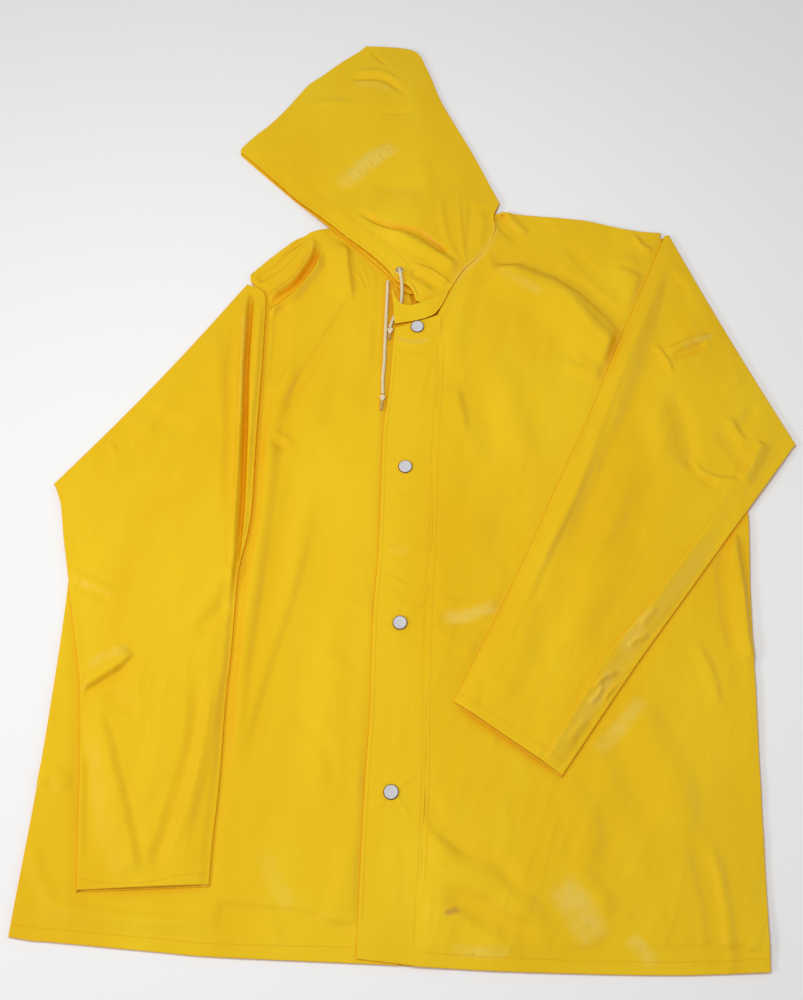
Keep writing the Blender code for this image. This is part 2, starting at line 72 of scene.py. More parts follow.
HEM = [(RIGHT_SIDE, 5.5), (-320, 3), (-300, 2.5), (-200, -2), (-150, -3.8), (0, -3.8), (115, -4.8),
       (260, -1.8), (LEFT_SIDE, 5)]
SIDE_RIGHT = [(RIGHT_SIDE, 5.5), (-337, 150), (-335.5, 300), (-339, 400), (-343, 458)]
SIDE_LEFT = [(LEFT_SIDE, 5), (356, 250), (357.5, 380), (360, 460), (359, 538)]
ARMHOLE_RIGHT = [(-343, 458), (-177, 718.3)]
ARMHOLE_LEFT = [(359, 538), (278.9, 802.3)]
TIP_RIGHT = [(-177, 718.3), (-182, 722.5), (-183, 731)]
TIP_LEFT = [(278.9, 802.3), (280, 807)]
SHOULDER_RIGHT = [(-183, 731), (-157, 759), (-130, 784), (-102, 797), (-62, 804)]
SHOULDER_LEFT = [(90.5, 823), (98, 826.5), (150, 824.3), (196, 820.3), (241, 810.6), (280, 807.5)]
NECKLINE = [(BAND_RIGHT, 688), (43, 721), (56, 746), (69, 761), (80, 775), (87.5, 789), (91.5, 806),
            (90.5, 823)]
UNDER_NECKLINE = [(UNDERLAP, 664), (0, 700), (-10, 735), (-35, 770), (-62, 804)]
BAND_EDGE = [(BAND_LEFT, 0), (-23, 81), (-23, 156), (-22, 235), (-24, 329), (-22, 405), (-24, 528),
             (-23, 558), (-20, 595), (-18, 668)]
BAND_SEAM = [(BAND_RIGHT, -4), (34, 159), (32, 238), (31, 321), (32, 438), (31, 531), (33, 604),
             (BAND_RIGHT, 688)]
BAND_TOP = [(-18, 673), (0, 679), (18, 686), (BAND_RIGHT, 692)]
HOOD_FACE = [CHIN, (-1, 717), (-9, 724), (-18, 727), (-30, 743.5), (-51, 763.5), (-74, 781.5), (-98, 801.5),
             (-138, 834.5), (-181.5, 876), BROW]
HOOD_TOP = [BROW, (-208, 908), (-194, 926), (-180, 941), (-162, 965), (-140, 1000), (-130, 1011),
            (-120, 1020), (-100, 1040), (-80, 1057), CROWN]
HOOD_BACK = [(95, 840), (66, 903), (43, 947), (22, 988), (3, 1037), (-15, 1063), CROWN]
HOOD_NECK = [(42.2, 721.3), (55.3, 746.5), (68.4, 761.6), (79.3, 775.5), (86.7, 789.3), (90.7, 806), NAPE,
             HOOD_BACK[0]]
HOOD_SEAM = HOOD_TOP + HOOD_BACK[-2::-1]
UNDER_FACE = [(-19, 723), (-28, 736.3), (-49, 756.3), (-71, 776.3), (-113, 810.3), (-180.5, 871),
              (-210, 898.5)]
UNDER_TOP = [(-210, 898.5)] + HOOD_TOP[1:]
CORNER_LOW = [(-18, 672), (0, 677), (12, 680.5), (18, 683), (25, 687.5), (30, 694), (35, 704), (38.3, 713)]
CORNER_TOP = [(-23, 716), (-15, 700), (-4, 696), (6, 698.5), (18, 705), (30, 711.5), (39.5, 718)]

Sleeve = namedtuple("Sleeve", "name armhole fold bow top_edge under_edge fullness slope edge_lift")
SLEEVE_LEFT = Sleeve(
    name="sleeve_left",
    armhole=[(280, 800), (359, 538)],
    fold=[(285.6, 802.9), (411.6, 540.9)],
    bow=-2.0,
    top_edge=[(285.6, 802.9), (266, 750), (231, 661), (198, 569), (166, 491), (120, 376), (61, 245)],
    under_edge=[(411.6, 540.9), (358.5, 465), (328.5, 422), (290.5, 367), (234.5, 286), (164.5, 178)],
    fullness=2.0,
    slope=40,
    edge_lift=lambda y: 1.1,
)
SLEEVE_RIGHT = Sleeve(
    name="sleeve_right",
    armhole=[(-181, 712.9), (-343, 458)],
    fold=[(-183, 715), (-364, 460)],
    bow=-4.0,
    top_edge=[(-183, 715), (-173, 710), (-165, 697), (-163, 640), (-162, 600), (-161, 524), (-159, 430),
              (-166, 368), (-165.5, 283), (-166.5, 241), (-165, 155), (-166, 100), (-165.5, 60)],
    under_edge=[(-364, 460), (-356.5, 443), (-352, 425), (-346.5, 400), (-337.5, 365), (-322, 302),
                (-309, 248), (-298, 171), (-284, 50)],
    fullness=2.6,
    slope=70,
    edge_lift=lambda y: 2.6 + 3.0 * ease(270, 430, y) * ease(712, 660, y),
)
SKIN_GAP = 1.4              # between the two skins of a sleeve that is pressed flat
TURN_INSIDE = 0.8           # radius inside the turn where a sleeve folds over
TURN_OUTSIDE = TURN_INSIDE + SKIN_GAP
TURN_LEVEL = SLEEVE_UNDER - TURN_INSIDE


# ---- small geometry ------------------------------------------------------------------
def ease(low, high, value):
    """0 at low and 1 at high, with a smooth step between them."""
    t = np.clip((value - low) / (high - low), 0.0, 1.0)
    return t * t * (3.0 - 2.0 * t)


def kept_over(value, low, soft=0.35):
    """The value where it is well over low, and a soft landing on low where it isn't."""
    return low + soft * np.logaddexp(0.0, (value - low) / soft)


def smooth_path(points, spans=8):
    """Points on a smooth curve through the points given."""
    points = np.asarray(points, float)
    ends = np.vstack([points[:1], points, points[-1:]])
    t = (np.arange(spans) / spans)[:, None]
    parts = [0.5 * (2 * b + (c - a) * t + (2 * a - 5 * b + 4 * c - d) * t ** 2
                    + (3 * b - a - 3 * c + d) * t ** 3)
             for a, b, c, d in zip(ends, ends[1:], ends[2:], ends[3:])]
    return np.vstack(parts + [points[-1:]])


def walk(points, spans=8):
    """A walk on the smooth curve through the points, by shares of its length."""
    path = smooth_path(points, spans)
    travelled = np.concatenate([[0.0], np.cumsum(np.linalg.norm(np.diff(path, axis=0), axis=1))])

    def at(share):
        goal = np.clip(share, 0.0, 1.0) * travelled[-1]
        return np.stack([np.interp(goal, travelled, line) for line in path.T], axis=-1)

    at.length = travelled[-1]
    return at


def edge(*runs):
    """A panel's edge of several runs, each with the share of the edge where it ends."""
    walks = [walk(points) for _, points in runs]
    bounds = [0.0] + [share for share, _ in runs]

    def at(share):
        share = np.asarray(share, float)
        place = np.empty(share.shape + (2,))
        for start, end, run in zip(bounds, bounds[1:], walks):
            here = share >= start
            place[here] = run((share[here] - start) / (end - start))
        return place

    return at


def beside(path, x, y):
    """How far each point is from a path, positive on its left, and the nearest share of it."""
    path = np.asarray(path, float)
    steps = np.diff(path, axis=0)
    runs = np.linalg.norm(steps, axis=1)
    travelled = np.concatenate([[0.0], np.cumsum(runs)])
    gap = np.full(np.shape(x), 1e9)
    place = np.zeros(np.shape(x))
    for (ax, ay), (dx, dy), run, start in zip(path, steps, runs, travelled):
        t = np.clip(((x - ax) * dx + (y - ay) * dy) / run ** 2, 0.0, 1.0)
        off_x = x - ax - t * dx
        off_y = y - ay - t * dy
        distance = np.hypot(off_x, off_y)
        closer = distance < np.abs(gap)
        side = np.where(dx * off_y - dy * off_x >= 0.0, 1.0, -1.0)
        gap = np.where(closer, side * distance, gap)
        place = np.where(closer, (start + t * run) / travelled[-1], place)
    return gap, place


def away_from(path, x, y):
    return np.abs(beside(path, x, y)[0])


def depth(outline, x, y):
    """How far each point is inside a closed outline; negative outside it."""
    outline = np.asarray(outline, float)
    closed = np.vstack([outline, outline[:1]])
    inside = np.zeros(np.shape(x), bool)
    for (ax, ay), (bx, by) in zip(closed, closed[1:]):
        if ay != by:
            inside ^= ((ay > y) != (by > y)) & (x < ax + (bx - ax) * (y - ay) / (by - ay))
    distance = away_from(closed, x, y)
    return np.where(inside, distance, -distance)


def spread(length, step, fine, rim):
    """Shares of an edge, a step apart in its middle and closer together within its two rims."""
    rims = [rim] * 2 if np.isscalar(rim) else rim
    first = np.linspace(0, rims[0], max(round(rims[0] / fine), 1) + 1)
    middle = np.linspace(rims[0], length - rims[1], max(round((length - rims[0] - rims[1]) / step), 1) + 1)
    last = np.linspace(length - rims[1], length, max(round(rims[1] / fine), 1) + 1)
    return np.concatenate([first, middle[1:], last[1:]]) / length


# ---- folds ---------------------------------------------------------------------------
# A fold is a ridge along a path, or a trough where its height is below 0. It has a width on
# the path's left and one on its right, a crest from soft (0) to crisp (1), and fades over a
# share of its length at its start and its end.
Fold = namedtuple("Fold", "height left right path crisp start end", defaults=(0.0, 0.25, 0.25))


def lift(folds, x, y):
    """Height that the folds add at each point."""
    total = np.zeros(np.shape(x))
    for fold in folds:
        path = smooth_path(fold.path, 5)
        reach = max(fold.left, fold.right)
        low = path.min(axis=0) - reach
        high = path.max(axis=0) + reach
        near = (x > low[0]) & (x < high[0]) & (y > low[1]) & (y < high[1])
        if not near.any():
            continue
        gap, place = beside(path, x[near], y[near])
        t = np.clip(np.abs(gap) / np.where(gap > 0, fold.left, fold.right), 0.0, 1.0)
        soft = (1 - t * t) ** 2
        crisp = (1 - t) ** 2
        ends = 1.0
        if fold.start:
            ends = ends * ease(0.0, fold.start, place)
        if fold.end:
            ends = ends * ease(0.0, fold.end, 1.0 - place)
        total[near] += fold.height * ends * (soft + (crisp - soft) * fold.crisp)
    return total


def rolling(x, y, size, seed):
    """Soft random swells from -1 to 1, about size across. A pair of sizes stretches them."""
    wide, tall = (size, size) if np.isscalar(size) else size
    lattice = np.random.default_rng(seed).uniform(-1, 1, (97, 97))
    u = x / wide + 41.3
    v = y / tall + 38.7
    i = np.floor(u).astype(int)
    j = np.floor(v).astype(int)
    a = u - i
    b = v - j
    a = a ** 3 * (a * (6 * a - 15) + 10)
    b = b ** 3 * (b * (6 * b - 15) + 10)
    i = i % 96
    j = j % 96
    return ((1 - a) * (1 - b) * lattice[i, j] + a * (1 - b) * lattice[i + 1, j]
            + (1 - a) * b * lattice[i, j + 1] + a * b * lattice[i + 1, j + 1])


def turned_axes(x, y, degrees):
    c, s = math.cos(math.radians(degrees)), math.sin(math.radians(degrees))
    return c * x + s * y, c * y - s * x


def crumple(x, y, seed, along=90):
    """The small unevenness of a stiff coated cloth, in mm, drawn out along a direction."""
    u, v = turned_axes(x, y, along)
    slow = rolling(u, v, (120, 60), seed) * 0.9 + rolling(u, v, (60, 26), seed + 1) * 0.42
    creased = 1 - np.abs(rolling(u + 9 * rolling(x, y, 40, seed + 2), v, (80, 34), seed + 3))
    veined = 1 - np.abs(rolling(u + 5 * rolling(x, y, 17, seed + 6), v + 3 * rolling(x, y, 23, seed + 7),
                                (34, 13), seed + 5))
    gathered = np.clip(rolling(x, y, 75, seed + 8) + 0.25, 0, 1)
    fine = rolling(u, v, (22, 9), seed + 4) * 0.10 + rolling(u, v, (9, 4.5), seed + 9) * 0.03
    return 0.8 * slow + 0.26 * creased ** 4 + 0.30 * gathered * veined ** 5 + fine


def scattered(seed, count, low, high, along=90, turn=25, tall=0.45):
    """Short faint creases, scattered over a rectangle."""
    rng = np.random.default_rng(seed)
    creases = []
    for _ in range(count):
        x, y = rng.uniform(low, high)
        angle = math.radians(along + rng.normal(0, turn))
        half = rng.uniform(12, 55)
        bend = rng.uniform(-0.3, 0.3) * half
        dx, dy = math.cos(angle), math.sin(angle)
        path = [(x - dx * half, y - dy * half), (x - dy * bend, y + dx * bend),
                (x + dx * half, y + dy * half)]
        wide = rng.uniform(4, 11)
        creases.append(Fold(rng.choice([-1, 1]) * rng.uniform(0.2, 0.7) * tall, wide,
                            wide * rng.uniform(0.5, 2.2), path, rng.uniform(0, 0.5), 0.5, 0.5))
    return creases


def puckers(path, x, y, offset, reach, spacing, height, seed):
    """The small ripples that sewing draws up beside a seam."""
    gap, place = beside(path, x, y)
    run = place * walk(path).length
    wander = rolling(run, run * 0, 1.7 * spacing, seed) * 0.35
    strength = 0.55 + 0.45 * rolling(run, run * 0 + 9, 3 * spacing, seed + 1)
    wave = np.cos(2 * math.pi * (run / spacing + wander)) * strength
    across = np.clip(1 - np.abs(np.abs(gap) - offset) / reach, 0, 1)
    return height * wave * across ** 2


def groove(path, x, y, offset, wide, deep):
    """The shallow line that a row of stitches pulls into the cloth."""
    gap = away_from(path, x, y)
    t = np.clip(np.abs(gap - offset) / wide, 0, 1)
    return -deep * (1 - t * t) ** 2


# ---- materials -----------------------------------------------------------------------
def linear(value):
    return value / 12.92 if value <= 0.04045 else ((value + 0.055) / 1.055) ** 2.4


def colour(text):
    """An sRGB hex colour as the linear values that a shader takes."""
    return (*(linear(int(text[k:k + 2], 16) / 255) for k in (1, 3, 5)), 1.0)


def add(tree, kind, links=(), **settings):
    """Adds a node. Its settings are attributes, or inputs: by their names with _ for a space, or
    by their numbers after a _."""
    node = tree.nodes.new("ShaderNode" + kind)
    for key, value in settings.items():
        if hasattr(node, key):
            setattr(node, key, value)
        else:
            socket = int(key[1:]) if key[1:].isdigit() else key.replace("_", " ")
            node.inputs[socket].default_value = value
    for socket, source in links:
        tree.links.new(source, node.inputs[socket])
    return node


def material(name):
    """A new material, its tree of nodes, its shader and the place on the piece."""
    paint = bpy.data.materials.new(name)
    paint.use_nodes = True
    tree = paint.node_tree
    tree.nodes.clear()
    shader = add(tree, "BsdfPrincipled")
    add(tree, "OutputMaterial", [("Surface", shader.outputs["BSDF"])])
    return paint, tree, shader, add(tree, "TexCoord").outputs["Object"]


def noise(tree, place, scale, detail, rough=0.5, bent=0.0):
    return add(tree, "TexNoise", [("Vector", place)], Scale=scale, Detail=detail, Roughness=rough,
               Distortion=bent).outputs["Fac"]


def stretched(tree, value, low, high, start=0.0, end=1.0):
    """Runs from low to high while the value runs from start to end."""
    return add(tree, "MapRange", [("Value", value)], From_Min=start, From_Max=end, To_Min=low,
               To_Max=high).outputs[0]


def ramp(tree, value, tones, stops=(0.0, 1.0)):
    """Runs from the first tone to the second while the value runs between the stops."""
    node = add(tree, "ValToRGB", [("Fac", value)])
    for element, tone, stop in zip(node.color_ramp.elements, tones, stops):
        element.position = stop
        element.color = colour(tone)
    return node.outputs["Color"]


def tinted(tree, base, tone, share):
    """The base colour with a share of a tone laid over it."""
    return add(tree, "Mix", [(6, base), (0, share)], data_type="RGBA", _7=colour(tone)).outputs[2]


def bumps(tree, height, strength, deep, *under):
    """Small relief for a shader, on top of the relief under it."""
    links = [("Height", height)] + [("Normal", normal) for normal in under]
    return add(tree, "Bump", links, Strength=strength, Distance=deep).outputs[0]


def dress(tree, shader, **looks):
    """Gives the shader's inputs, named with _ for a space, numbers or other nodes' outputs."""
    for key, look in looks.items():
        socket = shader.inputs[key.replace("_", " ")]
        if isinstance(look, bpy.types.NodeSocket):
            tree.links.new(look, socket)
        else:
            socket.default_value = look


def mottled(name, grain, tones, stops=(0.0, 1.0), rough=None, bump=None, **looks):
    """A material in two tones, mottled by one noise. The noise can also move the roughness
    between two values and raise bumps of a strength and a depth."""
    paint, tree, shader, place = material(name)
    fleck = noise(tree, place, *grain)
    looks["Base_Color"] = ramp(tree, fleck, tones, stops)
    if rough:
        looks["Roughness"] = stretched(tree, fleck, *rough)
    if bump:
        looks["Normal"] = bumps(tree, fleck, *bump)
    dress(tree, shader, **looks)
    return paint


# threads lie 0.5 mm apart; they are drawn this far apart, in m, so that the grain shows
THREAD_PITCH = 0.0012


def coated_cloth(name, grain, sheen_turn):
    """Cotton cloth with a calendered PVC coating: the coating gives a soft broad shine and
    fills most of the weave, which shows as a faint grain. Where rubbing thins it, it is paler
    in spots, and the same paler paint is laid on lit ridges as painted highlight. The deeper
    orange in the folds, in creases and beside raised edges is painted shade from ambient occlusion."""
    paint, tree, shader, place = material(name)
    lie, streaks = (
        add(tree, "Mapping", [("Vector", place)], Rotation=(0, 0, math.radians(turn)),
            Scale=(1.0, tall, 1.0)).outputs[0]
        for turn, tall in ((grain, 1.0), (sheen_turn, 0.35)))
    # the coating is milkier in long soft patches, and deeper in broad clouds
    milky = noise(tree, streaks, 9.0, 5.0, 0.6, 0.4)
    tone = ramp(tree, milky, ("#EFBF0A", "#F8D21E"), (0.30, 0.75))
    cloud = stretched(tree, noise(tree, place, 3.2, 2.0), 0.0, 0.35, 0.35, 0.7)
    base = tinted(tree, tone, "#EAB200", cloud)
    # painted shade: the colour turns deeper orange where ambient occlusion finds folds, creases and raised
    # edges close by
    hollow = add(tree, "AmbientOcclusion", samples=4, Distance=0.036).outputs["AO"]
    with_painted_fold_shade = tinted(tree, base, "#E68A00", stretched(tree, hollow, 0.85, 0.0, 0.35, 0.93))
    # where rubbing thins the coating it is paler, in spots; the same paler paint is laid on lit ridges as
    # painted highlight
    spotty = stretched(tree, noise(tree, place, 55.0, 5.0, 0.62, 0.5), 0.3, 1.0, 0.38, 0.68)
    wear_and_sheen, stained = (add(tree, "Attribute", attribute_name=mark_attribute).outputs["Fac"]
                       for mark_attribute in ("wear_and_sheen", "stained"))
    wear_and_sheen_spots = add(tree, "Math", [(0, wear_and_sheen), (1, spotty)], operation="MULTIPLY").outputs[0]
    stained_with_painted_light = tinted(tree, tinted(tree, with_painted_fold_shade, "#F2DC7C", wear_and_sheen_spots), "#C08A46", stained)
    # fine specks and the crossing threads; a wave of scale 1 repeats every 2 pi / 20 m
    speck = noise(tree, place, 260.0, 2.0, 0.6)
    warp, weft = (
        add(tree, "TexWave", [("Vector", lie)], bands_direction=way, Scale=2 * math.pi / THREAD_PITCH / 20,
            Distortion=0.6, Detail=1.0).outputs["Fac"]
        for way in "XY")
    cross = add(tree, "Math", [(0, warp), (1, weft)], operation="MULTIPLY").outputs[0]
    grit = add(tree, "Math", [(0, speck), (1, cross)], operation="ADD").outputs[0]
    soft = noise(tree, streaks, 38.0, 4.0, 0.55)
    wrinkle = bumps(tree, soft, 0.25, 0.0009, bumps(tree, grit, 0.12, 0.00012))
    dress(tree, shader, Base_Color=stained_with_painted_light, Normal=wrinkle, Specular_IOR_Level=0.29, IOR=1.52,
          Roughness=stretched(tree, milky, 0.40, 0.52, 0.25, 0.75))
    return paint


def moulded_cap():
    """Injection-moulded acetal: pale grey, an even satin gloss and faint scuffs."""
    return mottled("moulded acetal cap", (900.0, 3.0, 0.6), ("#C9C9CE", "#DCDCE0"), (0.3, 0.62),
                   rough=(0.25, 0.5), bump=(0.1, 0.00005), IOR=1.48)


def dark_ring_and_gap_shade():
    """Oxidised steel: the thin dark ring that holds the cap, dull with a brown cast. Its darkness is partly
    painted shade, standing in for the gap round the cap's foot.
    """
    return mottled("dark steel ring and painted gap shade", (600.0, 3.0), ("#4A4238", "#7C6A50"), rough=(0.4, 0.65),
                   Metallic=0.7)


def nickel_plate():
    """Nickel-plated brass, stamped: bright, a little warm, with fine tarnish."""
    return mottled("nickel-plated brass", (700.0, 4.0), ("#CFC9BA", "#F0EDE4"), (0.25, 0.6),
                   rough=(0.18, 0.4), Metallic=1.0)


def braided_cotton(name, light, dark):
    """Braided cotton: matt, cream, with soft shade between the strands and a little fuzz."""
    return mottled(name, (1400.0, 4.0, 0.7), (dark, light), (0.3, 0.65), bump=(0.4, 0.0002),
                   Roughness=0.9, Sheen_Weight=0.3, Sheen_Roughness=0.5)


def sewing_thread():
    """Polyester thread dyed to the cloth: a fine twist with a slight shine."""
    return mottled("polyester thread", (1800.0, 2.0), ("#E6B010", "#F6CA26"), Roughness=0.6)


def studio_floor():
    """Matt painted board, nearly white, with a trace of unevenness."""
    return mottled("matt white board", (3.0, 3.0), ("#FCFCFB", "#FEFEFE"), Roughness=0.85)


# ---- making pieces -------------------------------------------------------------------
def piece(name, points, faces, paint):
    """A smooth mesh piece of the coat, from points in mm and faces."""
    mesh = bpy.data.meshes.new(name)
    mesh.from_pydata(((np.asarray(points) - MIDDLE) * MM).tolist(), [], [list(f) for f in faces])
    mesh.shade_smooth()
    mesh.materials.append(paint)
    thing = bpy.data.objects.new(name, mesh)
    bpy.context.scene.collection.objects.link(thing)
    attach(thing, "root")
    return thing


def quads(rows, columns, first=0, wrap=False):
    """Faces between rows of points, each with that many columns."""
    k = np.arange(columns if wrap else columns - 1)
    after = (k + 1) % columns
    start = first + np.arange(rows - 1)[:, None] * columns
    return np.stack([start + k, start + after, start + columns + after, start + columns + k],
                    axis=-1).reshape(-1, 4)


def patch(low, high, left, right, across, up):
    """x and y of a grid between four edges, at the shares across and up."""
    u = across[None, :, None]
    v = up[:, None, None]
    corner = [low(np.array(0.0)), low(np.array(1.0)), high(np.array(0.0)), high(np.array(1.0))]
    grid = ((1 - v) * low(across)[None] + v * high(across)[None]
            + (1 - u) * left(up)[:, None] + u * right(up)[:, None]
            - (1 - u) * (1 - v) * corner[0] - u * (1 - v) * corner[1]
            - (1 - u) * v * corner[2] - u * v * corner[3])
    return grid[..., 0], grid[..., 1]


# how a cut edge rolls under: shares of the roll's height out and down, then a turned-in strip
ROLL = [(0.30, 0.12), (0.48, 0.50), (0.30, 0.88), (-0.30, 1.0)]
TURNED_IN = 7.0             # width of that strip, mm
LOWEST = 0.05               # how close to the floor an edge rolls, mm


def laid_cloth(name, grid, top, paint, roll, turned_in=TURNED_IN):
    """A laid panel: a grid at the heights that top gives, with its edges rolled under. The roll
    is one size, or one for each of the low, right, high and left edges."""
    x, y = grid
    rows, columns = x.shape
    points = np.stack([x, y, top(x, y)], axis=-1)
    index = np.arange(rows * columns).reshape(rows, columns)
    edges = [index[0, :-1], index[:-1, -1], index[-1, :0:-1], index[:0:-1, 0]]
    rim = np.concatenate(edges)
    rolls = [roll] * 4 if np.isscalar(roll) else roll
    roll = np.concatenate([np.full(len(side), size) for side, size in zip(edges, rolls)])
    rim_at = points.reshape(-1, 3)[rim]
    area = np.sum(rim_at[:, 0] * np.roll(rim_at[:, 1], -1) - np.roll(rim_at[:, 0], -1) * rim_at[:, 1])
    course = np.roll(rim_at, -1, axis=0) - np.roll(rim_at, 1, axis=0)
    course /= np.maximum(np.linalg.norm(course[:, :2], axis=1, keepdims=True), 1e-6)
    outward = np.stack([course[:, 1], -course[:, 0]], axis=-1) * math.copysign(1.0, area)
    everything = [points.reshape(-1, 3)]
    faces = [quads(rows, columns)]
    count = len(rim)
    last = rim
    for out, down in [(out * roll, down) for out, down in ROLL] + [(np.full(count, -turned_in), 1.02)]:
        ring = rim_at.copy()
        ring[:, :2] += outward * out[:, None]
        ring[:, 2] = np.maximum(ring[:, 2] - down * roll, LOWEST)
        now = rows * columns + (len(everything) - 1) * count + np.arange(count)
        faces.append(np.stack([last, np.roll(last, -1), np.roll(now, -1), now], axis=-1)[:, ::-1])
        everything.append(ring)
        last = now
    faces = np.vstack(faces)
    if area < 0:
        faces = faces[:, ::-1]
    return piece(name, np.vstack(everything), faces, paint)


def tree_of(thing):
    """A search tree of a piece's faces, to find places on its surface."""
    mesh = thing.data
    points = [v.co.copy() for v in mesh.vertices]
    return BVHTree.FromPolygons(points, [tuple(p.vertices) for p in mesh.polygons])


def dropped(surface, places):
    """Points in mm on top of a surface under the places (x, y), and the surface's slope there."""
    found = []
    for x, y in places:
        start = Vector(((x - MIDDLE[0]) * MM, (y - MIDDLE[1]) * MM, 0.2))
        hit, normal, _, _ = surface.ray_cast(start, Vector((0, 0, -1)))
        if hit is None:
            found.append(None)
        else:
            found.append((np.array([x, y, hit.z / MM]), np.array(normal)))
    return found


STITCH = 2.6                # length of a stitch, mm
STITCH_PITCH = 3.3
THREAD = 0.22               # radius of the thread
# rings of a stitch: place along it, and width and height against the thread's radius
STITCH_RINGS = [(-0.5, 0.25, -0.22), (-0.36, 0.85, 0.05), (0.0, 1.0, 0.16), (0.36, 0.85, 0.05),
                (0.5, 0.25, -0.22)]
STITCH_SIDES = 6


def stitched(name, rows, surface, paint):
    """Rows of stitches on a surface; each row is a path of (x, y)."""
    points = []
    faces = []
    turns = [2 * math.pi * k / STITCH_SIDES for k in range(STITCH_SIDES)]
    end = (len(STITCH_RINGS) - 1) * STITCH_SIDES
    for row in rows:
        way = walk(row)
        count = int(way.length / STITCH_PITCH)
        shares = (np.arange(count) + 0.5) / count
        for place, before, after in zip(dropped(surface, way(shares)), way(shares - 0.3 / count),
                                        way(shares + 0.3 / count)):
            if place is None:
                continue
            centre, normal = place
            normal = normal if normal[2] > 0 else -normal
            along = np.append(after - before, 0.0)
            along -= normal * along.dot(normal)
            along /= np.linalg.norm(along)
            side = np.cross(normal, along)
            first = len(points)
            points += [centre + along * share * STITCH + side * math.cos(turn) * THREAD * wide
                       + normal * (math.sin(turn) * THREAD * wide + high)
                       for share, wide, high in STITCH_RINGS for turn in turns]
            faces += [face[::-1] for face in quads(len(STITCH_RINGS), STITCH_SIDES, first, wrap=True)]
            faces.append([first + k for k in range(STITCH_SIDES)])
            faces.append([first + end + k for k in range(STITCH_SIDES)][::-1])
    return piece(name, points, faces, paint)


def tube(path, radii, sides, swelling=None):
    """Points and faces of a closed tube along a path; swelling widens it by row and side."""
    path = np.asarray(path, float)
    course = np.gradient(path, axis=0)
    course /= np.linalg.norm(course, axis=1, keepdims=True)
    side = np.cross(course[0], [0.0, 0.0, 1.0])
    if np.linalg.norm(side) < 0.2:
        side = np.cross(course[0], [0.0, 1.0, 0.0])
    rows = []
    turns = 2 * math.pi * np.arange(sides) / sides
    for k, (centre, forward) in enumerate(zip(path, course)):
        side = side - forward * side.dot(forward)
        side /= np.linalg.norm(side)
        up = np.cross(forward, side)
        swell = 1.0 if swelling is None else swelling(k, turns)
        around = np.cos(turns)[:, None] * side + np.sin(turns)[:, None] * up
        rows.append(centre + around * (radii[k] * swell * np.ones(sides))[:, None])
    points = np.vstack(rows)
    faces = [list(f) for f in quads(len(path), sides, wrap=True)]
    faces.append(list(range(sides))[::-1])
    faces.append([len(points) - sides + k for k in range(sides)])
    return points, faces


BRAID_PITCH = 5.5           # mm of cord in which a strand goes once round
STRANDS = 6
CORD_STEP = 0.45            # mm between the rings of a cord
CORD_SIDES = 28
PATH_STEP = 8               # one ring in so many is a point of the path that braided_cord returns
KNOT_CORD = 1.22            # radius of the cord in a knot of size 1
KNOT_SIZE = 0.9
TAIL_STRANDS = 7


def braided_cord(name, route, paint):
    """A cord braided of strands that cross, on a smooth curve through its route."""
    way = walk(route, 12)
    count = round(way.length / CORD_STEP)
    shares = np.linspace(0, 1, count + 1)
    path = way(shares)
    phase = 2 * math.pi * shares * way.length / BRAID_PITCH

    def strands(k, turns):
        one = np.cos(STRANDS * turns / 2 + phase[k] * STRANDS / 2)
        other = np.cos(STRANDS * turns / 2 - phase[k] * STRANDS / 2)
        return 0.94 + 0.11 * np.maximum(np.abs(one), np.abs(other)) ** 2

    radii = np.full(count + 1, CORD_RADIUS)
    radii[0] = radii[-1] = CORD_RADIUS * 0.7
    points, faces = tube(path, radii, CORD_SIDES, strands)
    declared = path[::PATH_STEP]
    if count % PATH_STEP:
        declared = np.vstack([declared, path[-1:]])
    return piece(name, points, faces, paint), declared


def tied_knot(name, base, tip, paint, tip_paint):
    """An overhand knot drawn tight, with a short frayed end below it."""
    t = np.linspace(0, 2 * math.pi, 97)[:-1]
    ring = np.stack([(np.sin(t) + 2 * np.sin(2 * t)) * 0.82, (np.cos(t) - 2 * np.cos(2 * t)) * 1.15,
                     -np.sin(3 * t) * 0.9], axis=-1) * KNOT_SIZE
    base, tip = np.array(base, float), np.array(tip, float)
    centre = base + (tip - base) * 0.22
    path = ring + centre
    path = np.vstack([path, path[:1] + 0.01])
    points, faces = tube(path, np.full(len(path), KNOT_CORD * KNOT_SIZE), 14)
    knot = piece(name, points, faces, paint)
    # the strands of the end part a little; six stand round one, each a thin tube of its own
    tail_points = []
    tail_faces = []
    rng = np.random.default_rng(int(abs(base[1])))
    for k in range(TAIL_STRANDS):
        turn = 2 * math.pi * k / (TAIL_STRANDS - 1)
        across, up = math.cos(turn), math.sin(turn)
        offset = np.array([across, 0.0, up]) * (0.0 if k == TAIL_STRANDS - 1 else 0.75)
        parting = np.array([across * rng.uniform(0.9, 1.7), rng.uniform(-0.8, 0.8),
                            up * rng.uniform(0.2, 0.7)])
        strand = walk([centre + offset * 0.8, (centre + tip) / 2 + offset, tip + parting], 6)
        p, f = tube(strand(np.linspace(0, 0.86, 14)), np.concatenate([np.full(12, 0.55), [0.45, 0.2]]), 8)
        tail_faces += [[i + len(tail_points) for i in face] for face in f]
        tail_points += list(p)
    tail = piece(name + "_end", tail_points, tail_faces, tip_paint)
    return knot, tail


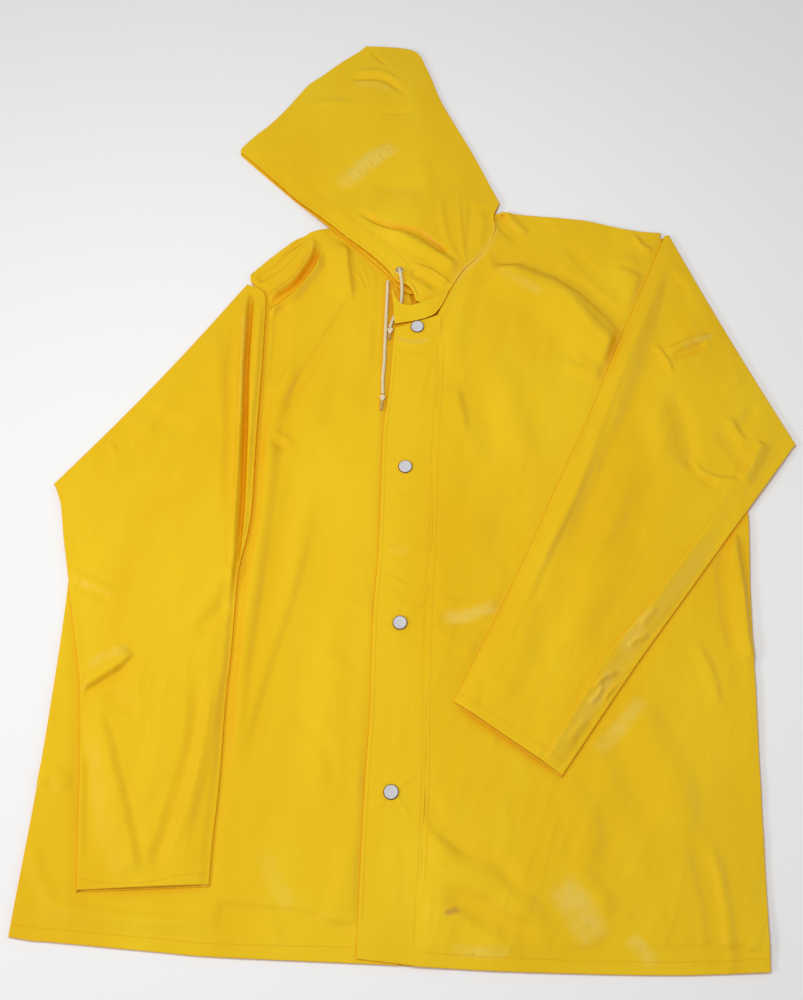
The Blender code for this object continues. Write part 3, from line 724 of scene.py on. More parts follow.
def turned_piece(name, profiles, at, steps=56):
    """A piece turned about an upright axis, from open profiles of (radius, height), each with
    its own material."""
    points = []
    faces = []
    shades = []
    turns = [2 * math.pi * k / steps for k in range(steps)]
    for number, (paint, profile) in enumerate(profiles):
        first = len(points)
        for radius, height in profile:
            points += [(at[0] + radius * math.cos(turn), at[1] + radius * math.sin(turn), at[2] + height)
                       for turn in turns]
        ring_faces = [list(f) for f in quads(len(profile), steps, first, wrap=True)]
        faces += ring_faces
        shades += [number] * len(ring_faces)
        if profile[-1][0] < 0.6:
            faces.append([first + (len(profile) - 1) * steps + k for k in range(steps)])
            shades.append(number)
    thing = piece(name, points, faces, profiles[0][0])
    for paint, _ in profiles[1:]:
        thing.data.materials.append(paint)
    for face, shade in zip(thing.data.polygons, shades):
        face.material_index = shade
    return thing


# ---- camera and cords ----------------------------------------------------------------
def set_camera():
    """It stands beyond the hem and looks down on the coat."""
    lens = bpy.data.cameras.new("camera")
    lens.lens = 50.4
    lens.sensor_width = 36
    camera = bpy.data.objects.new("camera", lens)
    camera.location = (0.0008, -0.6698, 1.3415)
    camera.rotation_euler = (math.radians(24.13), 0, math.radians(2.5))
    bpy.context.scene.collection.objects.link(camera)
    bpy.context.scene.camera = camera


CORD_ON_FRONT = 5.15        # height of a cord's middle where it lies on a front


def make_cords():
    cotton = braided_cotton("braided cotton cord", "#F6EBC0", "#CDB67C")
    soiled = braided_cotton("soiled cord end", "#DDBE7C", "#A8823E")
    whip = braided_cotton("tight cotton knot", "#F7EFD2", "#D8C48F")
    face, front = HOOD_AT_EYELET, CORD_ON_FRONT
    upper_route = [(-16, 742, face + 2.2), (-15, 737, face + 3.9), (-14, 731, face + 3.3),
                   (-12.8, 725, face + 1.9), (-12, 715, 7.4), (-12, 706, front + 0.3), (-14, 694, front),
                   (-19, 682, front), (-22.4, 672, front), (-23, 667.5, front + 0.4)]
    lower_route = [(-28.6, 728.5, front), (-28.3, 700, front), (-28, 664, front), (-27.5, 626, front),
                   (-28, 601, front), (-27, 584.5, front + 0.4)]
    upper, upper_path = braided_cord("cord_from_eyelet", upper_route, cotton)
    lower, lower_path = braided_cord("cord_from_hem_of_hood", lower_route, cotton)
    upper_knot = tied_knot("knot_by_band", (-23, 667, 6.3), (-23.2, 651, 5.4), whip, soiled)
    lower_knot = tied_knot("knot_on_front", (-27, 584, 6.3), (-28, 562, 5.4), whip, soiled)
    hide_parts("cord_upper")
    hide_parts("cord_lower")
    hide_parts("knot_upper")
    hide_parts("knot_lower")


# ---- heights of the cloth ----------------------------------------------------------------
def outline_of(sleeve):
    top = smooth_path(sleeve.top_edge, 3)
    under = smooth_path(sleeve.under_edge, 3)
    return np.vstack([top, under[::-1]])


PLAN_RIGHT = outline_of(SLEEVE_RIGHT)
PLAN_LEFT = outline_of(SLEEVE_LEFT)
PLAN_HOOD = np.vstack([smooth_path(UNDER_FACE, 3), [CROWN], smooth_path(NECKLINE, 3)[::-1]])
PLAN_CORNER = np.vstack([smooth_path(CORNER_LOW, 3), smooth_path(CORNER_TOP, 3)[::-1]])
HOOD_SEAM_LINE = smooth_path(HOOD_SEAM, 3)
NECK_LINE = smooth_path(NECKLINE, 4)
FACE_LINE = smooth_path(HOOD_FACE, 4)
SEAM_AND_NECK = smooth_path(BAND_SEAM + NECKLINE[1:], 4)
TUCK = 3.5                  # how far the left front goes under the band and the hood, mm
OPEN_SWELL = 0.9            # how much higher the fronts lie where nothing presses on them, mm
# how far the rows of stitches run from their edge or seam, mm
HEM_STITCHES = 11
SEAM_STITCHES = 4.0         # on the left front, beside the band
BAND_STITCHES = 3.2         # on the band, at its seam and at its edge
FACE_STITCHES = 4.5         # on the hood, at its face edge
CASING_STITCHES = 22        # on the hood, where the casing of the cord ends
NECK_STITCHES = 3.4         # on the hood, at the neck seam


def folds(rows, wider=1.0):
    """The folds of a table. Its widths are those of narrow folds; wider makes them broad ones."""
    return [Fold(height, left * wider, right * wider, *rest) for height, left, right, *rest in rows]


FOLDS_RIGHT = folds([
    # two crisp ridges over the shoulder, from the head of the sleeve, with hollows between them
    (-3.6, 8, 7, [(-176, 722), (-154, 741), (-140, 760), (-127, 781), (-122, 792)], 0.2, 0.1, 0.1),
    (5.2, 6, 6, [(-168, 696), (-147, 713), (-134, 726), (-125, 742), (-118, 758), (-115, 772), (-118, 785)],
     0.6, 0.1, 0.2),
    (-3.4, 5, 5, [(-166, 686), (-146, 703), (-132, 716), (-123, 731), (-115, 746), (-111, 760),
                  (-111, 776)], 0.2, 0.1, 0.2),
    (5.0, 6, 9, [(-168, 676), (-145, 694), (-131, 707), (-121, 723), (-112, 738), (-108, 751), (-107, 770)],
     0.6, 0.1, 0.2),
    (2.4, 26, 12, [(-96, 786), (-92, 760), (-88, 735), (-86, 700)], 0.1),
    # a step down from the hood, and long soft folds from the shoulder
    (3.0, 5, 20, [(-79, 786), (-75, 750), (-71, 725), (-66, 696)], 0.5),
    (1.0, 3, 3, [(-68, 744), (-60, 730), (-53, 713)], 0.5),
    (0.8, 2.5, 3, [(-60, 748), (-54, 736), (-50, 722)], 0.5),
    (-2.6, 9, 9, [(-60, 716), (-78, 681), (-92, 650), (-106, 620), (-117, 596), (-126, 572), (-132, 550)],
     0.2, 0.15, 0.2),
    (-3.2, 12, 15, [(-146, 704), (-143, 665), (-142, 625), (-147, 585)], 0.1, 0.1, 0.25),
]) + folds([
    # lower down they are broad
    (2.4, 10, 12, [(-124, 640), (-132, 600), (-140, 560), (-146, 520), (-151, 470)], 0.1),
    (1.8, 14, 18, [(-76, 655), (-88, 612), (-98, 570), (-104, 520)], 0.0),
    (1.2, 16, 20, [(-50, 690), (-54, 640), (-60, 590), (-64, 540)], 0.0),
    (1.8, 5, 7, [(-144, 533), (-132, 528), (-120, 519)], 0.4),
    (-1.3, 7, 6, [(-146, 524), (-134, 518), (-126, 510)], 0.4),
    # a lit ridge beside the sleeve, and a crease that runs down to it
    (3.0, 8, 12, [(-140, 540), (-142, 470), (-146, 400), (-149, 330), (-151, 250), (-153, 150)],
     0.1, 0.1, 0.25),
    (2.2, 7, 13, [(-92, 470), (-102, 400), (-112, 345), (-126, 285), (-139, 225), (-149, 160)],
     0.1, 0.35, 0.2),
    (-1.4, 12, 9, [(-114, 500), (-122, 430), (-130, 370), (-136, 310)], 0.1),
    (-0.9, 16, 18, [(-78, 480), (-84, 370), (-88, 250), (-92, 130)], 0.0),
    (1.0, 16, 16, [(-50, 460), (-56, 350), (-62, 240), (-60, 120)], 0.0),
    (1.1, 12, 9, [(-84, 300), (-70, 286), (-46, 268), (-28, 262)], 0.2),
    (-1.0, 10, 8, [(-100, 228), (-74, 206), (-58, 178), (-52, 150)], 0.2),
    # pulled towards the snaps
    (0.9, 4, 6, [(-60, 346), (-42, 342), (-24, 339)], 0.6, 0.4, 0.0),
    (0.8, 5, 7, [(-44, 172), (-34, 164), (-22, 158)], 0.5, 0.4, 0.0),
    # over the hem and at the side
    (-2.8, 6, 24, [(-158, 40), (-110, 37), (-66, 34), (-50, 27), (-18, 25)], 0.3, 0.1, 0.0),
    (2.6, 8, 11, [(-330, 46), (-300, 34), (-268, 28), (-215, 24), (-150, 26)], 0.4),
    (2.4, 12, 9, [(-338, 140), (-327, 156), (-314, 148), (-300, 150)], 0.3, 0.2, 0.3),
    (1.6, 8, 10, [(-334, 95), (-322, 60), (-300, 38)], 0.3),
    (1.0, 10, 12, [(-60, 20), (-40, 60), (-38, 110)], 0.1),
    (1.3, 8, 12, [(-105, 42), (-98, 20), (-94, 6)], 0.4),
], wider=1.4)
FOLDS_LEFT = folds([
    # the long ridge from the neck to the armhole: a broad lit side below, a steep one above
    (5.6, 11, 30, [(84, 757), (115, 746), (145, 734), (162, 725), (180, 703), (197, 679), (219, 656),
                   (238, 642)], 0.1, 0.1, 0.06),
    (2.8, 7, 15, [(160, 735), (183, 722), (205, 693), (232, 664), (246, 655)], 0.2),
    (-2.6, 8, 7, [(150, 752), (166, 744), (203, 715), (235, 689)], 0.2),
    (-1.6, 8, 6, [(166, 790), (181, 776), (203, 749), (224, 724)], 0.2),
    # a wedge from the neck to the shoulder, dark on its neck side
    (-4.2, 13, 9, [(84, 757), (107, 763), (133, 787), (157, 814)], 0.1, 0.2, 0.1),
    (-3.6, 9, 6, [(93, 824), (101, 809), (113, 797), (130, 785)], 0.2, 0.05, 0.4),
    (2.4, 8, 6, [(98, 829), (116, 806), (131, 793)], 0.4, 0.05, 0.3),
    (2.0, 3, 6, [(249, 806), (258, 790), (273, 781)], 0.6),
    (2.4, 14, 16, [(228, 778), (243, 752), (254, 720), (262, 690)], 0.1),
    (-1.4, 6, 6, [(230, 764), (246, 757), (262, 752)], 0.3),
    (1.6, 6, 9, [(168, 634), (190, 622), (214, 618)], 0.3),
    (-1.5, 6, 8, [(186, 640), (206, 634), (222, 622)], 0.3),
    # the drag from the neck seam down over the band's top
    (-1.8, 10, 14, [(58, 752), (44, 716), (34, 680), (20, 648), (4, 626)], 0.3, 0.2, 0.3),
    (1.2, 12, 14, [(68, 744), (58, 705), (50, 660), (46, 610)], 0.2),
    # chest and below
    (1.6, 14, 16, [(90, 640), (108, 590), (120, 545), (132, 500)], 0.1),
    (-1.4, 12, 14, [(62, 620), (72, 580), (88, 545), (96, 500)], 0.2),
    (1.2, 5, 12, [(50, 600), (58, 570), (64, 535)], 0.4),
    (1.0, 10, 12, [(175, 640), (190, 635), (212, 624)], 0.3),
    (1.2, 18, 18, [(62, 495), (70, 440), (66, 400)], 0.0),
    (-1.0, 18, 18, [(98, 470), (112, 420), (110, 370)], 0.0),
    # pulled towards the third snap
    (1.2, 6, 9, [(36, 352), (70, 346), (110, 352)], 0.3),
    (-1.2, 7, 8, [(36, 335), (68, 328), (104, 326)], 0.3),
    (0.9, 6, 9, [(36, 320), (62, 306), (92, 300)], 0.3),
    # between the sleeve and the side, a leaf that stands up and soft folds under it
    (3.4, 4, 12, [(343, 446), (345, 420), (350, 370), (352, 320), (358, 296)], 0.3, 0.1, 0.1),
    (-2.4, 5, 6, [(338, 446), (331, 400), (334, 340), (341, 312), (354, 303)], 0.3),
    (1.6, 5, 10, [(297, 320), (308, 300), (315, 280), (321, 243)], 0.4),
    (-1.8, 12, 7, [(286, 124), (294, 100), (303, 62), (306, 16)], 0.3, 0.3, 0.0),
    (2.0, 7, 8, [(300, 130), (308, 104), (315, 62), (318, 9)], 0.4, 0.3, 0.0),
    (1.6, 14, 16, [(230, 260), (262, 210), (280, 160), (284, 110)], 0.1),
    (-1.4, 14, 14, [(204, 240), (230, 180), (250, 120)], 0.1),
    # low down: waves that run to the hem
    (-2.4, 10, 8, [(30, 166), (48, 124), (76, 104), (105, 92), (130, 64)], 0.2),
    (2.2, 9, 13, [(30, 130), (65, 88), (105, 68), (140, 46), (158, 20)], 0.2),
    (-2.2, 9, 9, [(50, 64), (80, 54), (112, 38), (146, 24)], 0.2),
    (1.6, 6, 9, [(24, 50), (63, 43), (97, 24), (136, 6)], 0.3),
    (-1.8, 8, 8, [(196, 16), (216, 28), (235, 42), (252, 64)], 0.2),
    (1.4, 8, 10, [(170, 96), (196, 74), (214, 44)], 0.2),
    (1.3, 14, 14, [(150, 190), (175, 160), (190, 120), (186, 80)], 0.1),
    (-1.8, 5, 16, [(150, 16), (200, 14), (260, 18), (330, 22)], 0.2, 0.2, 0.0),
], wider=1.5)
FOLDS_BAND = folds([
    (0.7, 6, 8, [(-24, 444), (4, 436), (36, 442)], 0.3, 0.2, 0.2),
    (1.0, 5, 7, [(-22, 410), (2, 402), (36, 408)], 0.3, 0.2, 0.2),
    (0.8, 4, 6, [(-20, 391), (6, 384), (34, 392)], 0.4, 0.2, 0.2),
    (1.1, 5, 8, [(-10, 374), (12, 362), (36, 366)], 0.4, 0.3, 0.1),
    (-0.9, 5, 6, [(-16, 381), (8, 372), (36, 380)], 0.3, 0.3, 0.1),
    (0.9, 5, 6, [(-6, 350), (10, 342), (34, 352)], 0.3),
    (0.9, 4, 6, [(-22, 322), (-8, 317), (12, 306)], 0.6, 0.2, 0.3),
    (0.8, 4, 5, [(14, 322), (26, 314), (40, 308)], 0.6, 0.3, 0.3),
    (0.8, 4, 5, [(-20, 336), (-6, 330), (0, 328)], 0.5, 0.3, 0.1),
    (0.8, 4, 5, [(6, 334), (20, 346), (32, 356)], 0.5, 0.2, 0.4),
    # drawn round the lowest snap
    (1.0, 3.5, 4.5, [(-20, 164), (-9, 160), (-3, 157)], 0.6, 0.2, 0.1),
    (1.0, 3.5, 4.5, [(9, 160), (18, 167), (28, 174)], 0.6, 0.1, 0.3),
    (0.9, 3.5, 4.5, [(9, 147), (16, 138), (22, 128)], 0.6, 0.1, 0.4),
    (0.8, 3.5, 4.5, [(-3, 146), (-10, 138), (-18, 134)], 0.6, 0.1, 0.3),
    # and the second
    (0.6, 4, 5, [(-18, 505), (-8, 502), (-3, 500)], 0.4, 0.3, 0.1),
    (0.6, 4, 5, [(9, 502), (18, 506), (28, 504)], 0.4, 0.1, 0.3),
    (0.7, 5, 7, [(-18, 472), (4, 462), (28, 466)], 0.3),
    # the drape under the topmost snap
    (1.4, 4, 7, [(-19, 653), (-2, 649), (14, 650), (24, 660), (34, 668)], 0.4, 0.15, 0.2),
    (-0.9, 4, 5, [(-16, 644), (0, 640), (18, 641), (30, 652)], 0.2),
    (0.7, 6, 8, [(24, 640), (16, 600), (10, 560)], 0.2),
    (0.7, 10, 10, [(4, 250), (10, 220), (4, 190)], 0.1),
    (0.6, 8, 10, [(6, 110), (12, 70), (6, 40)], 0.1),
])
FOLDS_HOOD = folds([
    # the drape that falls from the cheek to the neck seam, and the hollow over it
    (3.6, 9, 15, [(-44, 797), (-27, 793), (-6, 782), (21, 767), (50, 748)], 0.15, 0.25, 0.1),
    (-4.0, 7, 6, [(-74, 824), (-54, 811), (-37, 803), (-23, 798), (-7, 796), (7, 790), (21, 779),
                  (38, 765)], 0.2, 0.35, 0.15),
    (-1.4, 4, 4, [(-12, 798), (7, 791), (24, 777), (40, 763)], 0.5, 0.3, 0.2),
    # faint folds that run up from the neck seam
    (1.1, 6, 8, [(24, 858), (30, 820), (38, 782), (54, 754)], 0.3, 0.4, 0.05),
    (1.0, 5, 6, [(48, 860), (50, 815), (54, 780), (58, 754)], 0.3, 0.4, 0.05),
    (-1.0, 6, 6, [(62, 850), (62, 810), (60, 770)], 0.2, 0.3, 0.1),
    (0.9, 5, 6, [(66, 836), (76, 838), (90, 836)], 0.5, 0.3, 0.1),
    (0.8, 7, 8, [(74, 830), (76, 800), (72, 778)], 0.2),
    # cheek and crown
    (1.7, 14, 12, [(-100, 853), (-77, 868), (-63, 886), (-46, 903), (-24, 920)], 0.15),
    (0.7, 2.5, 3, [(-62, 893), (-56, 887), (-51, 880)], 0.6, 0.4, 0.4),
    (0.7, 2.5, 3, [(-52, 905), (-46, 898), (-42, 890)], 0.6, 0.4, 0.4),
    (0.6, 2.5, 3, [(-44, 912), (-38, 906), (-34, 898)], 0.6, 0.4, 0.4),
    (0.6, 2.5, 3, [(-76, 880), (-70, 873), (-65, 866)], 0.6, 0.4, 0.4),
    (-2.0, 6, 6, [(-92, 1013), (-72, 1016), (-52, 1016), (-38, 1009), (-18, 992)], 0.3),
    (1.2, 5, 7, [(-88, 1024), (-66, 1028), (-46, 1025), (-24, 1010)], 0.3),
    (-0.8, 4, 4, [(-49, 965), (-27, 964), (-10, 970)], 0.4),
    (-2.4, 3.5, 3.5, [(-72, 1066), (-52, 1045), (-42, 1036)], 0.5, 0.05, 0.4),
    (1.0, 10, 12, [(-160, 960), (-120, 976), (-70, 975)], 0.1),
    (0.9, 14, 14, [(0, 900), (10, 870), (6, 840)], 0.1),
    (-0.9, 14, 16, [(-60, 860), (-20, 858), (20, 850)], 0.1),
    # a thin ridge over the chin, and the hollow under it
    (1.8, 3, 3, [(-3, 751), (11, 746), (22, 741), (34, 733), (44, 726)], 0.6, 0.2, 0.1),
    (-3.0, 9, 10, [(-6, 740), (8, 735), (22, 726), (36, 715)], 0.1, 0.15, 0.1),
    (1.2, 3, 4, [(-22, 729), (-12, 727), (-4, 725), (2, 715), (5, 705)], 0.3, 0.1, 0.1),
])
FOLDS_SLEEVE_RIGHT = folds([
    # the pleats down its top edge
    (3.0, 4, 6, [(-185, 716), (-184.5, 660), (-181.5, 600), (-178, 544), (-174, 450), (-171, 383),
                 (-168, 318)], 0.5, 0.04, 0.3),
    (-4.0, 4, 4, [(-180, 715), (-178.5, 660), (-176.5, 600), (-172.5, 544), (-167, 450), (-166, 383),
                  (-166, 310)], 0.2, 0.04, 0.3),
]) + folds([
    # broad ones beside them
    (-1.5, 7, 7, [(-197, 690), (-195, 640), (-190, 560), (-184, 480), (-180, 420)], 0.2),
    (1.6, 8, 14, [(-214, 690), (-216, 650), (-208, 600), (-204, 540)], 0.2),
    # elbow
    (3.4, 20, 4, [(-316, 239), (-300, 247), (-288, 256), (-272, 268), (-260, 283)], 0.2, 0.08, 0.15),
    (-1.4, 5, 9, [(-312, 234), (-292, 246), (-274, 258), (-262, 272)], 0.2),
    (-1.6, 12, 10, [(-284, 240), (-266, 228), (-246, 222)], 0.1),
    (1.4, 6, 9, [(-338, 364), (-318, 356), (-294, 346), (-262, 347)], 0.4, 0.1, 0.4),
    (-1.2, 7, 6, [(-334, 350), (-312, 344), (-290, 333)], 0.2),
    (1.4, 4, 7, [(-326, 518), (-312, 508), (-302, 496)], 0.4, 0.2, 0.4),
    (-1.2, 12, 14, [(-290, 560), (-260, 540), (-225, 530)], 0.0),
    (1.5, 12, 14, [(-300, 520), (-262, 560), (-228, 610)], 0.0),
    (-1.3, 14, 14, [(-318, 470), (-280, 500), (-240, 560), (-215, 620)], 0.0),
    (2.0, 9, 11, [(-212, 310), (-198, 330), (-184, 352), (-168, 378)], 0.3, 0.3, 0.1),
    (-1.6, 9, 9, [(-200, 300), (-186, 318), (-170, 340)], 0.2),
    # down to the cuff
    (-2.2, 9, 8, [(-196, 276), (-192, 240), (-192, 195), (-203, 130), (-218, 66)], 0.2, 0.3, 0.1),
    (1.8, 8, 9, [(-178, 262), (-181, 200), (-186, 150), (-201, 80)], 0.2),
    (2.6, 7, 20, [(-296, 226), (-283, 205), (-266, 160), (-250, 118), (-232, 62)], 0.15, 0.2, 0.1),
    (-1.6, 12, 12, [(-294, 190), (-287, 135), (-278, 70)], 0.1),
    (1.0, 10, 12, [(-226, 220), (-228, 170), (-240, 110)], 0.0),
], wider=1.4)
FOLDS_SLEEVE_LEFT = folds([
    # the armhole seam's facing
    (-2.6, 32, 18, [(298, 760), (280, 700), (258, 630), (240, 570), (215, 510), (190, 450), (152, 380),
                    (132, 325)], 0.0, 0.06, 0.3),
]) + folds([
    (1.0, 5, 6, [(276, 745), (256, 690), (238, 640), (222, 595), (204, 545), (180, 475), (140, 380),
                 (106, 300)], 0.2),
    # shoulder and elbow
    (2.2, 4, 6, [(278, 648), (296, 658), (316, 668), (334, 676)], 0.6, 0.2, 0.3),
    (2.6, 5, 10, [(352, 494), (360, 504), (366, 515), (379, 545)], 0.5, 0.15, 0.15),
    (1.6, 4, 8, [(302, 524), (312, 504), (330, 497), (350, 495), (364, 489)], 0.5),
    (1.4, 5, 8, [(344, 572), (352, 556), (362, 540)], 0.4),
    (-1.5, 5, 5, [(284, 640), (304, 650), (328, 662)], 0.3),
    (1.5, 4, 6, [(267, 662), (275, 650), (282, 636), (286, 618)], 0.4),
    (-1.4, 10, 12, [(284, 610), (298, 560), (304, 520), (312, 500)], 0.2),
    (1.3, 12, 14, [(262, 600), (272, 550), (280, 500)], 0.1),
    (-1.6, 5, 7, [(298, 524), (306, 508), (316, 497), (332, 490)], 0.5),
    (-0.9, 8, 9, [(344, 536), (358, 556), (376, 590)], 0.2),
    (0.9, 9, 10, [(336, 604), (352, 612), (366, 634)], 0.3),
    (-0.8, 9, 9, [(330, 560), (350, 530), (362, 505)], 0.1),
    # body of the sleeve
    (1.3, 16, 16, [(240, 560), (222, 500), (200, 440)], 0.0),
    (-1.2, 16, 16, [(270, 520), (250, 460), (228, 400)], 0.0),
    (1.2, 18, 18, [(230, 420), (200, 360), (170, 300)], 0.0),
    (-1.0, 16, 16, [(190, 400), (160, 340), (130, 280)], 0.0),
    (1.0, 12, 12, [(140, 330), (120, 280), (100, 240)], 0.1),
    (-0.9, 8, 8, [(96, 270), (88, 250), (84, 236)], 0.2),
    # the strip along the seam, crumpled near the cuff
    (1.6, 3, 15, [(149, 188), (174, 232), (212, 299), (251, 346), (280, 389), (334, 462)], 0.2, 0.03, 0.2),
    (1.8, 3, 4, [(196, 262), (206, 274), (222, 282)], 0.6),
    (1.6, 3, 4, [(206, 250), (214, 262), (228, 274)], 0.6),
    (1.3, 3, 4, [(190, 246), (200, 256), (206, 270)], 0.6),
    (1.2, 3, 5, [(230, 306), (240, 316), (254, 322)], 0.5),
    (1.0, 4, 5, [(244, 328), (252, 342), (262, 350)], 0.4),
    (0.9, 4, 6, [(170, 205), (180, 222), (192, 236)], 0.3),
], wider=1.4)
SEAM_LEFT_SLEEVE = [(330, 465), (278, 391), (249, 349), (211, 302), (173, 235), (149, 191)]

# What breaks up a piece's flatness: its folds and their strength, small creases and theirs, and
# the strength, the seed and the direction of the cloth's unevenness.
Relief = namedtuple("Relief", "folds strong creases faint uneven seed along")
RELIEF_RIGHT = Relief(FOLDS_RIGHT, 1.2, scattered(11, 46, (-330, 20), (-30, 740)), 0.5, 1.0, 21, 90)
RELIEF_LEFT = Relief(FOLDS_LEFT, 1.5, scattered(12, 60, (45, 15), (350, 780), turn=40), 0.6, 2.1, 22, 75)
RELIEF_BAND = Relief(
    FOLDS_BAND, 0.9, scattered(13, 16, (-18, 20), (30, 650), along=0, turn=30, tall=0.4), 0.4, 0.5, 23, 0)
RELIEF_HOOD = Relief(
    FOLDS_HOOD, 1.1, scattered(14, 46, (-190, 770), (70, 1050), along=40, turn=40, tall=0.6),
    0.4, 0.9, 24, 40)
RELIEF_SLEEVE_RIGHT = Relief(
    FOLDS_SLEEVE_RIGHT, 1.35, scattered(15, 40, (-340, 70), (-170, 680), along=75, tall=0.6),
    0.5, 1.5, 25, 78)
RELIEF_SLEEVE_LEFT = Relief(
    FOLDS_SLEEVE_LEFT, 1.8225, scattered(16, 46, (90, 200), (390, 760), along=62, tall=0.5),
    0.5, 2.025, 26, 64)


def folded(relief, x, y):
    return relief.strong * lift(relief.folds, x, y) + relief.faint * lift(relief.creases, x, y)


def unevenness(relief, x, y):
    return relief.uneven * crumple(x, y, relief.seed, relief.along)


def rising(share, t):
    """From a share at t = 0 to all at t = 1."""
    return share + (1 - share) * t


# where the cloth is painted paler, partly because rubbing thins the coating and partly as painted highlight
# on lit ridges: a path, its half width and how far it is paled
WearAndSheen = namedtuple("WearAndSheen", "path half_width amount")
WEAR_AND_SHEEN_RIGHT = [WearAndSheen([(-118, 100), (-100, 60), (-80, 40)], 14, 0.15)]
WEAR_AND_SHEEN_LEFT = [
    WearAndSheen([(42, 331), (72, 335), (102, 350)], 10, 0.5),
    WearAndSheen([(160, 80), (180, 52), (198, 20)], 22, 0.5),
    WearAndSheen([(198, 198), (222, 226), (248, 260)], 11, 0.4),
    WearAndSheen([(226, 32), (240, 18), (252, 4)], 10, 0.4),
    WearAndSheen([(120, 14), (100, 10), (60, 12)], 8, 0.3),
    WearAndSheen(NECKLINE[1:], 6, 0.3),
    WearAndSheen([(92, 750), (117, 733), (150, 716)], 8, 0.2),
]
WEAR_AND_SHEEN_BAND = [
    WearAndSheen([(-18, 655), (6, 651), (24, 656)], 4, 0.25),
    WearAndSheen([(-14, 404), (10, 402)], 8, 0.15),
]
WEAR_AND_SHEEN_HOOD = [
    WearAndSheen([(-98, 855), (-77, 868), (-63, 886), (-46, 903), (-24, 919)], 15, 0.5),
    WearAndSheen([(-84, 1008), (-60, 1006), (-36, 998)], 8, 0.25),
    WearAndSheen(NECKLINE[1:], 6, 0.3),
]
WEAR_AND_SHEEN_SLEEVE_RIGHT = [
    WearAndSheen([(-306, 262), (-286, 277), (-262, 284)], 9, 0.22),
    WearAndSheen([(-184, 690), (-182, 620), (-178, 540)], 3, 0.25),
]
WEAR_AND_SHEEN_SLEEVE_LEFT = [
    WearAndSheen([(194, 242), (207, 268), (217, 286)], 9, 0.6),
    WearAndSheen([(225, 298), (240, 325), (258, 350)], 10, 0.4),
    WearAndSheen([(150, 180), (200, 255), (255, 335), (330, 440)], 11, 0.18),
    WearAndSheen([(296, 655), (316, 665), (336, 674)], 4, 0.3),
]
# a stain on the left front and two specks: centre, half length, half height and strength
STAINS_LEFT = [((60.5, 44), 4.4, 3.4, 0.6), ((66, 46), 4.4, 3.6, 0.55), ((57, 87), 1.3, 1.0, 0.6),
               ((83, 8), 1.8, 1.2, 0.5)]


def paint_wear_sheen_and_stains(thing, wear_and_sheen, stains):
    """Writes on a piece's points, for its material, where the cloth is painted paler (partly from rubbing,
    partly as painted highlight) and where it is stained.
    """
    mesh = thing.data
    points = np.empty(len(mesh.vertices) * 3)
    mesh.vertices.foreach_get("co", points)
    x, y = (points.reshape(-1, 3) / MM + MIDDLE)[:, :2].T
    milky = np.zeros(len(x))
    for path, half_width, amount in wear_and_sheen:
        gap, place = beside(smooth_path(path, 4), x, y)
        faded = ease(0.0, 0.2, place) * ease(0.0, 0.2, 1 - place)
        milky = np.maximum(milky, amount * faded * (1 - ease(0.2, 1.0, np.abs(gap) / half_width)))
    dirty = np.zeros(len(x))
    for (at_x, at_y), long, high, strength in stains:
        off = np.hypot((x - at_x) / long, (y - at_y) / high)
        dirty = np.maximum(dirty, strength * (1 - ease(0.55, 1.2, off)))
    for name, values in (("wear_and_sheen", milky), ("stained", dirty)):
        mesh.attributes.new(name, "FLOAT", "POINT").data.foreach_set("value", values)


DIP = 1.1                   # the furthest that a front's relief goes below its level, mm
BAND_DIP = 0.9              # the same for the band
HOOD_LAYER = 1.3            # thickness of the hood's lower layer


def back_top(x, y):
    return np.full_like(x, BACK_TOP)


def front_relief(relief, x, y, hem, swell):
    """Folds, creases and unevenness of a front, fainter over its hem, and a swell."""
    return folded(relief, x, y) * rising(0.4, hem) + (unevenness(relief, x, y) * rising(0.3, hem) + swell)


def sewn_hem(x, y, spacing, seed):
    return groove(HEM, x, y, HEM_STITCHES, 1.6, 0.12) + puckers(HEM, x, y, 8, 9, spacing, 0.25, seed)


def right_front_top(x, y):
    """Flat where a sleeve, the band or the hood lies on it, folded elsewhere."""
    covered = np.maximum.reduce([
        ease(-14, -3, depth(PLAN_RIGHT, x, y)), ease(-12, -2, depth(PLAN_HOOD, x, y)),
        ease(BAND_LEFT - 9, BAND_LEFT - 1, x)])
    by_cord = ease(600, 640, y) * ease(-46, -36, x)
    hem = ease(2, 26, away_from(HEM, x, y))
    relief = front_relief(RELIEF_RIGHT, x, y, hem, OPEN_SWELL * hem) + sewn_hem(x, y, 17, 31)
    return FRONT_TOP + kept_over((1.0 - covered) * (1.0 - by_cord) * relief, -DIP)


